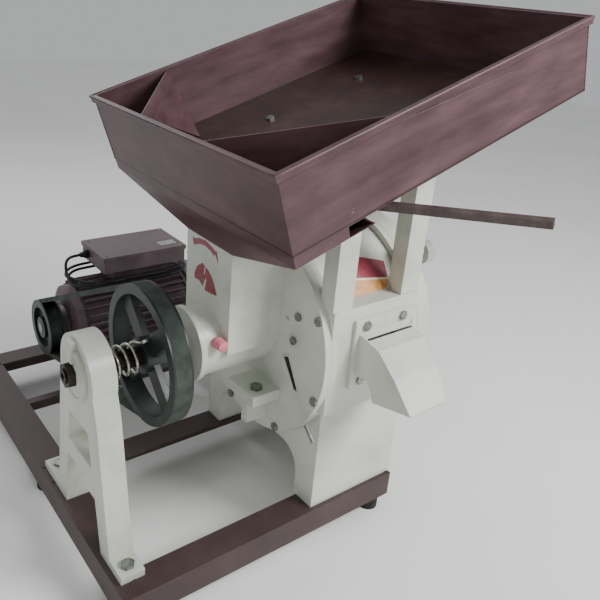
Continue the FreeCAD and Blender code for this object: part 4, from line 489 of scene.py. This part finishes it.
# ------------------------------------------------------------------------------ pulleys and belt
# Cast-iron pulleys in dark machine green, and a wide rubber-and-fabric belt between the flanges.
pulley_green, tree, shader = start_material("machine_green_enamel_on_iron", Coat_Weight=0.2,
                                            Coat_Roughness=0.3)
# Thick dark enamel with greasy, almost black patches where belt dust has stuck.
place = add_node(tree, "TexCoord").outputs["Object"]
grease = add_node(tree, "TexNoise", {"Vector": place, "Scale": 16, "Detail": 6, "Roughness": 0.65})
add_node(tree, "ValToRGB", {0: grease.outputs["Fac"]},
         stops=((0.3, "#161C1A"), (0.55, "#202B28"), (0.8, "#303D39")),
         feeds=shader.inputs["Base Color"])
add_node(tree, "MapRange", {"Value": grease.outputs["Fac"], "To Min": 0.28, "To Max": 0.6},
         feeds=shader.inputs["Roughness"])
cast_skin = add_node(tree, "TexNoise", {"Vector": place, "Scale": 260, "Detail": 3})
edges = add_node(tree, "Bevel", {"Radius": 0.002}, samples=6)
add_node(tree, "Bump", {"Height": cast_skin.outputs["Fac"], "Strength": 0.3, "Distance": 0.0006,
                        "Normal": edges.outputs["Normal"]}, feeds=shader.inputs["Normal"])
finish_nodes(pulley_green, "drive_pulley", "motor_pulley")

belt_rubber, tree, shader = start_material("rubberised_fabric_belt", Roughness=0.78,
                                           Specular_IOR_Level=0.25)
# Worn belt fabric is a chalky grey-green; the weave is drawn at 2 mm so that it shows.
place = add_node(tree, "TexCoord").outputs["Object"]
cloth = add_node(tree, "TexWave", {"Vector": place, "Scale": 80, "Distortion": 1.0},
                 bands_direction="DIAGONAL")
chalk = add_node(tree, "TexNoise", {"Vector": place, "Scale": 30, "Detail": 5})
add_node(tree, "ValToRGB", {0: chalk.outputs["Fac"]}, stops=((0.3, "#343B37"), (0.7, "#4C554F")),
         feeds=shader.inputs["Base Color"])
add_node(tree, "Bump", {"Height": cloth.outputs["Fac"], "Strength": 0.3, "Distance": 0.0004},
         feeds=shader.inputs["Normal"])
finish_nodes(belt_rubber, "drive_belt")

# ------------------------------------------------------------------------------------ grease cap
# A pink moulded push cap over the housing's greasing hole: a ribbed skirt under a domed top.
cap_low, cap_high = (Vector(corner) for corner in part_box("grease_cap"))
cap_face = cap_low.y
cap_middle = (cap_low + cap_high) / 2
CAP_REACH = (cap_high.x - cap_low.x) / 2
cap_plastic, tree, shader = start_material("moulded_pink_polythene", Roughness=0.42,
                                           Subsurface_Weight=0.15, Subsurface_Scale=0.003)
# Soft polythene glows a little and picks up grey smudges.
place = add_node(tree, "TexCoord").outputs["Object"]
smudge = add_node(tree, "TexNoise", {"Vector": place, "Scale": 75, "Detail": 4})
add_node(tree, "ValToRGB", {0: smudge.outputs["Fac"]}, stops=((0.3, "#D57486"), (0.6, "#EE8C9C")),
         feeds=shader.inputs["Base Color"])
add_node(tree, "Bump", {"Height": smudge.outputs["Fac"], "Strength": 0.2, "Distance": 0.0005},
         feeds=shader.inputs["Normal"])
RIB_DEPTH = 0.0006
cap_shape = bmesh.new()
# The turned outline from the dome to the stem: its reach and depth as shares of the whole.
profile = [(0, 0), (0.55, 0.0), (0.86, 0.06), (0.97, 0.16), (0.97, 0.52), (1.0, 0.56),
           (1.0, 0.72), (0.6, 0.74), (0.6, 1.0), (0, 1.0)]
cap_depth = cap_high.y - cap_low.y
cap_corners = [cap_shape.verts.new((cap_middle.x + reach * CAP_REACH, cap_face + deep * cap_depth,
                                    cap_middle.z)) for reach, deep in profile]
cap_edges = [cap_shape.edges.new(pair) for pair in zip(cap_corners, cap_corners[1:])]
bmesh.ops.spin(cap_shape, geom=cap_corners + cap_edges, cent=cap_middle, axis=(0, 1, 0),
               angle=2 * math.pi, steps=48, use_merge=True)
bmesh.ops.remove_doubles(cap_shape, verts=cap_shape.verts, dist=0.00002)
ribs = [face for face in cap_shape.faces
        if abs(face.normal.y) < 0.1 and 0.2 < (face.calc_center_median().y - cap_face)
        / cap_depth < 0.5]
for face in ribs[::2]:
    middle = face.calc_center_median()
    outward = (middle - cap_middle) * Vector((1, 0, 1))
    bmesh.ops.translate(cap_shape, vec=outward.normalized() * -RIB_DEPTH, verts=face.verts)
add_piece("ribbed_grease_cap", cap_shape, [cap_plastic], "root", "cap_plastic", 30, "grease_cap")

# ------------------------------------------------------------------------------------- door knob
# Pale compression-moulded hand knob on the chamber door's clamp, chosen to go with the enamel.
pale_urea, tree, shader = start_material("moulded_pale_urea", Coat_Weight=0.3, Coat_Roughness=0.1)
# Compression-moulded urea resin is glossy and grey-white, with faint flow marks from filling.
place = add_node(tree, "TexCoord").outputs["Object"]
flow = add_node(tree, "TexNoise", {"Vector": place, "Scale": 50, "Detail": 4})
add_node(tree, "ValToRGB", {0: flow.outputs["Fac"]}, stops=((0.35, "#A9ABA2"), (0.7, "#BEBFB5")),
         feeds=shader.inputs["Base Color"])
add_node(tree, "MapRange", {"Value": flow.outputs["Fac"], "To Min": 0.22, "To Max": 0.42},
         feeds=shader.inputs["Roughness"])
finish_nodes(pale_urea, "door_knob")

# --------------------------------------------------------------------- feed tray and its funnel
# Folded and welded sheet steel: a sloping tray with a rolled rim, two deflector plates inside,
# a spacer round the slide gate, and a funnel down to the throat, all in one oxide enamel.
SLOPE = math.radians(18.2)
TRAY_PLACE = at(251, -107, 805)
TRAY_LENGTH, TRAY_WIDTH, TRAY_DEPTH, RIM_WIDTH = 789, 674, 153, 6
UPHILL = Vector((math.cos(SLOPE), 0, math.sin(SLOPE)))
BACKWARD = Vector((0, 1, 0))
OFF_FLOOR = Vector((-math.sin(SLOPE), 0, math.cos(SLOPE)))


def in_tray(along, across, up):
    """A point from millimetres along, across and above the tray's underside."""
    return TRAY_PLACE + (along * UPHILL + across * BACKWARD + up * OFF_FLOOR) / 1000


tray_paint, tree, shader = start_material("sprayed_oxide_enamel_on_sheet", Coat_Weight=0.08,
                                          Coat_Roughness=0.35, Specular_IOR_Level=0.3)
# Sprayed semi-gloss maroon; runs and dust soften it, and grain has worn the floor to brown.
place = add_node(tree, "TexCoord").outputs["Object"]
level = add_node(tree, "Mapping", {"Vector": place, "Location": TRAY_PLACE,
                                   "Rotation": (0, -SLOPE, 0)}, vector_type="TEXTURE")
run = add_node(tree, "Mapping", {"Vector": level.outputs["Vector"], "Scale": (2.2, 2.2, 9)})
drift = add_node(tree, "TexNoise", {"Vector": run.outputs["Vector"], "Scale": 2.6, "Detail": 7,
                                    "Roughness": 0.6})
maroon = add_node(tree, "ValToRGB", {0: drift.outputs["Fac"]},
                  stops=((0.25, "#402A2F"), (0.5, "#563E43"), (0.75, "#6A4F54"))).outputs["Color"]
# Only the upper face of the tray's floor lies in the band between these heights in metres.
axes = add_node(tree, "SeparateXYZ", {"Vector": level.outputs["Vector"]})
above = add_node(tree, "MapRange", {"Value": axes.outputs["Z"], "From Min": 0.0035,
                                    "From Max": 0.0065, "To Min": 1.0, "To Max": 0.0})
inner = add_node(tree, "MapRange", {"Value": axes.outputs["Z"], "From Min": 0.0010,
                                    "From Max": 0.0025})
floor_band = add_node(tree, "Math", {0: above.outputs["Result"], 1: inner.outputs["Result"]},
                      operation="MULTIPLY")
scuffs = add_node(tree, "TexNoise",
                  {"Vector": level.outputs["Vector"], "Scale": 12, "Detail": 8, "Roughness": 0.7})
worn_floor = add_node(tree, "ValToRGB", {0: scuffs.outputs["Fac"]},
                      stops=((0.3, "#1F1410"), (0.55, "#35241B"),
                             (0.8, "#4E3B2C"))).outputs["Color"]
inside = add_node(tree, "Mix", {"Factor": floor_band.outputs["Value"], "A": maroon,
                                "B": worn_floor}, data_type="RGBA")
scratch = add_node(tree, "MapRange",
                   {"Value": scuffs.outputs["Fac"], "From Min": 0.70, "From Max": 0.73})
add_node(tree, "Mix", {"Factor": scratch.outputs["Result"], "A": inside.outputs["Result"],
                       "B": srgb("#A58F90")}, data_type="RGBA", feeds=shader.inputs["Base Color"])
add_node(tree, "MapRange", {"Value": drift.outputs["Fac"], "To Min": 0.3, "To Max": 0.52},
         feeds=shader.inputs["Roughness"])
ripple = add_node(tree, "TexNoise", {"Vector": place, "Scale": 14, "Detail": 2})
edges = add_node(tree, "Bevel", {"Radius": 0.0012}, samples=6)
add_node(tree, "Bump", {"Height": ripple.outputs["Fac"], "Strength": 0.35, "Distance": 0.004,
                        "Normal": edges.outputs["Normal"]}, feeds=shader.inputs["Normal"])
finish_nodes(tray_paint, "hopper_tray", "tray_bearer", "hopper_deflectors", "hopper_spacer",
             "hopper_funnel")

# The rolled wire edge round the tray's mouth, the weld down each outside corner, and the seam
# along the front sheet.
RIM_BEAD, CORNER_BEAD, SEAM_BEAD = 0.0042, 0.0017, 0.0014
RIM_OUT, BELOW_RIM = RIM_WIDTH - 1, 16
rolled_rim = bmesh.new()
rim_corners = [in_tray(along, across, TRAY_DEPTH - 2)
               for along, across in ((-RIM_OUT, -RIM_OUT), (TRAY_LENGTH + RIM_OUT, -RIM_OUT),
                                     (TRAY_LENGTH + RIM_OUT, TRAY_WIDTH + RIM_OUT),
                                     (-RIM_OUT, TRAY_WIDTH + RIM_OUT))]
bead(rolled_rim, rim_corners, RIM_BEAD, sides=10, ripple=0.02, closed=True)
add_piece("tray_rolled_rim", rolled_rim, [tray_paint], "root", "tray_paint", 50)
tray_welds = bmesh.new()
for along in (0.5, TRAY_LENGTH - 0.5):
    for across in (0.5, TRAY_WIDTH - 0.5):
        ends = [in_tray(along, across, 1), in_tray(along, across, TRAY_DEPTH - BELOW_RIM)]
        bead(tray_welds, ends, CORNER_BEAD, ripple=0.3)
bead(tray_welds, [in_tray(197, -0.4, 139), in_tray(548, -0.4, 122)], SEAM_BEAD, ripple=0.1)
add_piece("tray_corner_welds", tray_welds, [tray_paint], "root", "tray_paint", 50)

# ------------------------------------------------------------------------- feed gate and lever
# A flat steel gate under the tray floor and the square bar that swings it, hand-painted once and
# worn by use.
worn_bar, tree, shader = start_material("worn_painted_flat_bar")
# Thin brown-grey paint over mill scale; the bar's end is rubbed lighter.
place = add_node(tree, "TexCoord").outputs["Object"]
rub = add_node(tree, "TexNoise", {"Vector": place, "Scale": 38, "Detail": 7, "Roughness": 0.7})
add_node(tree, "ValToRGB", {0: rub.outputs["Fac"]},
         stops=((0.3, "#3C302F"), (0.55, "#574846"), (0.8, "#786C67")),
         feeds=shader.inputs["Base Color"])
add_node(tree, "MapRange", {"Value": rub.outputs["Fac"], "To Min": 0.38, "To Max": 0.62},
         feeds=shader.inputs["Roughness"])
add_node(tree, "Bump", {"Height": rub.outputs["Fac"], "Strength": 0.3, "Distance": 0.0006},
         feeds=shader.inputs["Normal"])
finish_nodes(worn_bar, "feed_gate", "gate_lever")

# ------------------------------------------------------------------------------- electric motor
# A finned cast-iron motor with die-cast end shields, a pressed fan cowl and a sheet terminal
# box, sprayed mauve-brown all over.
motor_paint, tree, shader = start_material("sprayed_motor_enamel", Coat_Weight=0.1,
                                           Coat_Roughness=0.35)
# Thin satin enamel with a mottle; faces that point up are mixed towards a paler mauve, a painted
# top light.
place = add_node(tree, "TexCoord").outputs["Object"]
haze = add_node(tree, "TexNoise", {"Vector": place, "Scale": 13, "Detail": 7, "Roughness": 0.65})
mauve = add_node(tree, "ValToRGB", {0: haze.outputs["Fac"]},
                 stops=((0.25, "#4A3A3E"), (0.5, "#65535A"), (0.78, "#806E74"))).outputs["Color"]
facing = add_node(tree, "NewGeometry")
tilt = add_node(tree, "SeparateXYZ", {"Vector": facing.outputs["Normal"]})
# Painted top light: the more a face points up, the more it takes the pale mauve.
painted_top_light = add_node(tree, "MapRange",
                   {"Value": tilt.outputs["Z"], "From Min": 0.6, "From Max": 1.0, "To Max": 0.45})
add_node(tree, "Mix", {"Factor": painted_top_light.outputs["Result"], "A": mauve, "B": srgb("#85777B")},
         data_type="RGBA", feeds=shader.inputs["Base Color"])
add_node(tree, "MapRange", {"Value": haze.outputs["Fac"], "To Min": 0.42, "To Max": 0.68},
         feeds=shader.inputs["Roughness"])
fine = add_node(tree, "TexNoise", {"Vector": place, "Scale": 240, "Detail": 3})
edges = add_node(tree, "Bevel", {"Radius": 0.0015}, samples=6)
add_node(tree, "Bump", {"Height": fine.outputs["Fac"], "Strength": 0.3, "Distance": 0.0005,
                        "Normal": edges.outputs["Normal"]}, feeds=shader.inputs["Normal"])
finish_nodes(motor_paint, "motor_body", "motor_end_shields", "motor_fan_cover", "terminal_box",
             "terminal_box_lid")

# Round-headed screws with a sunk top in the terminal box lid's corners.
LID_LEFT, LID_RIGHT, LID_FRONT, LID_BACK, SCREW_INSET = 303, 553, 768, 922, 12
lid_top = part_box("terminal_box_lid")[1][2]
lid_screws = bmesh.new()
for across in (LID_LEFT + SCREW_INSET, LID_RIGHT - SCREW_INSET):
    for back in (LID_FRONT + SCREW_INSET, LID_BACK - SCREW_INSET):
        seat = at(across, back, 0)
        seat.z = lid_top + 0.0012
        made = bmesh.ops.create_cone(lid_screws, cap_ends=True, segments=24, radius1=0.0048,
                                     radius2=0.0036, depth=0.0026,
                                     matrix=Matrix.Translation(seat))
        top = max((face for vert in made["verts"] for face in vert.link_faces),
                  key=lambda face: face.calc_center_median().z)
        bmesh.ops.inset_region(lid_screws, faces=[top], thickness=0.0008, depth=-0.0008)
add_piece("lid_screws", lid_screws, [zinc_plate], "root", "zinc_steel", 30)

# The rating plate stuck to the lid: a blank aluminium plate with rounded corners.
plate_metal, tree, shader = start_material("anodised_aluminium_plate", Metallic=0.85)
# Anodised and then rubbed in use: pale and satin, with dull scuffs.
place = add_node(tree, "TexCoord").outputs["Object"]
scuff = add_node(tree, "TexNoise", {"Vector": place, "Scale": 110, "Detail": 8, "Roughness": 0.75})
add_node(tree, "ValToRGB", {0: scuff.outputs["Fac"]}, stops=((0.35, "#9A9295"), (0.6, "#D5D2D2")),
         feeds=shader.inputs["Base Color"])
add_node(tree, "MapRange", {"Value": scuff.outputs["Fac"], "To Min": 0.3, "To Max": 0.6},
         feeds=shader.inputs["Roughness"])
rating_plate = bmesh.new()
PLATE_SIZE = (0.052, 0.030, 0.0008)
plate_place = at(513, 806, 0)
plate_place.z = lid_top + PLATE_SIZE[2] / 2
bmesh.ops.create_cube(rating_plate, size=1, matrix=Matrix.Translation(plate_place)
                      @ Matrix.Diagonal((*PLATE_SIZE, 1)))
upright_edges = [edge for edge in rating_plate.edges
                 if abs((edge.verts[0].co - edge.verts[1].co).z) > PLATE_SIZE[2] / 2]
bmesh.ops.bevel(rating_plate, geom=upright_edges, offset=0.004, affect="EDGES", segments=4,
                profile=0.5, material=-1)
add_piece("rating_plate", rating_plate, [plate_metal], "root", "motor_aluminium", 30)

# ----------------------------------------------------------------------- printed transfers
# Thin printed transfers on the enamel: a shield-shaped badge wrapped round the drum, and a turning
# arrow with a roundel on the throat. They carry no lettering.


def screen_ink(name, mottle_scale, low, high):
    """A printing ink between two hex colours, with a mottle of a scale per metre."""
    ink, tree, shader = start_material(name, Coat_Weight=0.3, Coat_Roughness=0.2, Roughness=0.38)
    place = add_node(tree, "TexCoord").outputs["Object"]
    mottle = add_node(tree, "TexNoise", {"Vector": place, "Scale": mottle_scale, "Detail": 4})
    add_node(tree, "ValToRGB", {0: mottle.outputs["Fac"]}, stops=((0.3, low), (0.7, high)),
             feeds=shader.inputs["Base Color"])
    return ink


# Screen ink pressed through a mesh on to vinyl: even colour, slightly mottled, with a low gloss.
red_ink = screen_ink("screen_printed_red", 120, "#7E1F2E", "#9C2F3E")
amber_ink = screen_ink("screen_printed_amber", 90, "#C9823C", "#E3A860")
cream_ink = screen_ink("screen_printed_cream", 90, "#E2D3B0", "#F2E8CE")

# The badge is cut flat, then laid on the drum: across in mm, and round in degrees from the
# shaft's level. A cream band between two leaning lines parts its red top from its amber bottom.
DRUM_RADIUS = 235
DEGREE = math.radians(1) * DRUM_RADIUS
RED, AMBER, CREAM = 0, 1, 2
BAND_TOP, BAND_BOTTOM, BAND_LEAN, BAND_MIDDLE = 41.5, 40.3, 0.16, 580
BADGE_BORDER, BADGE_THICKNESS, BADGE_GAP = 4, 0.5, 0.25
badge_outline = [(567, 56), (657, 48), (649, 38), (640, 34), (584, 30), (508, 35), (520, 44)]
badge = bmesh.new()
corners = [badge.verts.new((across, angle * DEGREE, 0)) for across, angle in badge_outline]
field = badge.faces.new(corners)
field.material_index = CREAM
bmesh.ops.inset_region(badge, faces=[field], thickness=BADGE_BORDER, use_even_offset=True)
field.material_index = RED
for height in (BAND_TOP, BAND_BOTTOM):
    inner_faces = [face for face in badge.faces if face.material_index != CREAM]
    geometry = inner_faces + list({edge for face in inner_faces for edge in face.edges}) \
        + list({vert for face in inner_faces for vert in face.verts})
    bmesh.ops.bisect_plane(badge, geom=geometry, plane_co=(BAND_MIDDLE, height * DEGREE, 0),
                           plane_no=(BAND_LEAN, 1, 0))
for face in badge.faces:
    if face.material_index == CREAM:
        continue
    middle = face.calc_center_median()
    level = (middle.y + (middle.x - BAND_MIDDLE) * BAND_LEAN) / DEGREE
    face.material_index = RED if level > BAND_TOP else (CREAM if level > BAND_BOTTOM else AMBER)
for step in range(28, 58):
    bmesh.ops.bisect_plane(badge, geom=badge.verts[:] + badge.edges[:] + badge.faces[:],
                           plane_co=(0, step * DEGREE, 0), plane_no=(0, 1, 0))
thicken(badge, badge.faces[:], (0, 0, BADGE_THICKNESS))
for vert in badge.verts:
    angle = vert.co.y / DRUM_RADIUS
    reach = DRUM_RADIUS + BADGE_GAP + vert.co.z
    vert.co = at(vert.co.x, SHAFT_BACK - reach * math.cos(angle),
                 SHAFT_HEIGHT + reach * math.sin(angle))
add_piece("drum_badge", badge, [red_ink, amber_ink, cream_ink], "root", "cast_enamel", 30)

# The throat's transfers lie on its flat left wall: back and up in mm.
THROAT_LEFT = 300
throat_transfers = bmesh.new()
arrow_outline = [(292, 697), (287, 684), (262, 694), (240, 697), (216, 692), (206, 686),
                 (204, 694), (190, 677), (196, 700), (203, 699), (214, 703), (240, 709),
                 (266, 706), (288, 698), (290, 703)]
left_half = [(251, 655), (240, 652), (244, 634), (236, 628), (246, 604), (262, 612), (280, 610),
             (281, 622), (270, 642)]
right_half = [(236, 650), (224, 646), (208, 634), (197, 618), (190, 604), (212, 600), (238, 598),
              (232, 622), (240, 630)]
for outline in (arrow_outline, left_half, right_half):
    face = throat_transfers.faces.new(
        [throat_transfers.verts.new(at(THROAT_LEFT - 0.1, back, up)) for back, up in outline])
    thicken(throat_transfers, [face], (-0.0005, 0, 0))
add_piece("throat_transfers", throat_transfers, [red_ink], "root", "cast_enamel", 30)
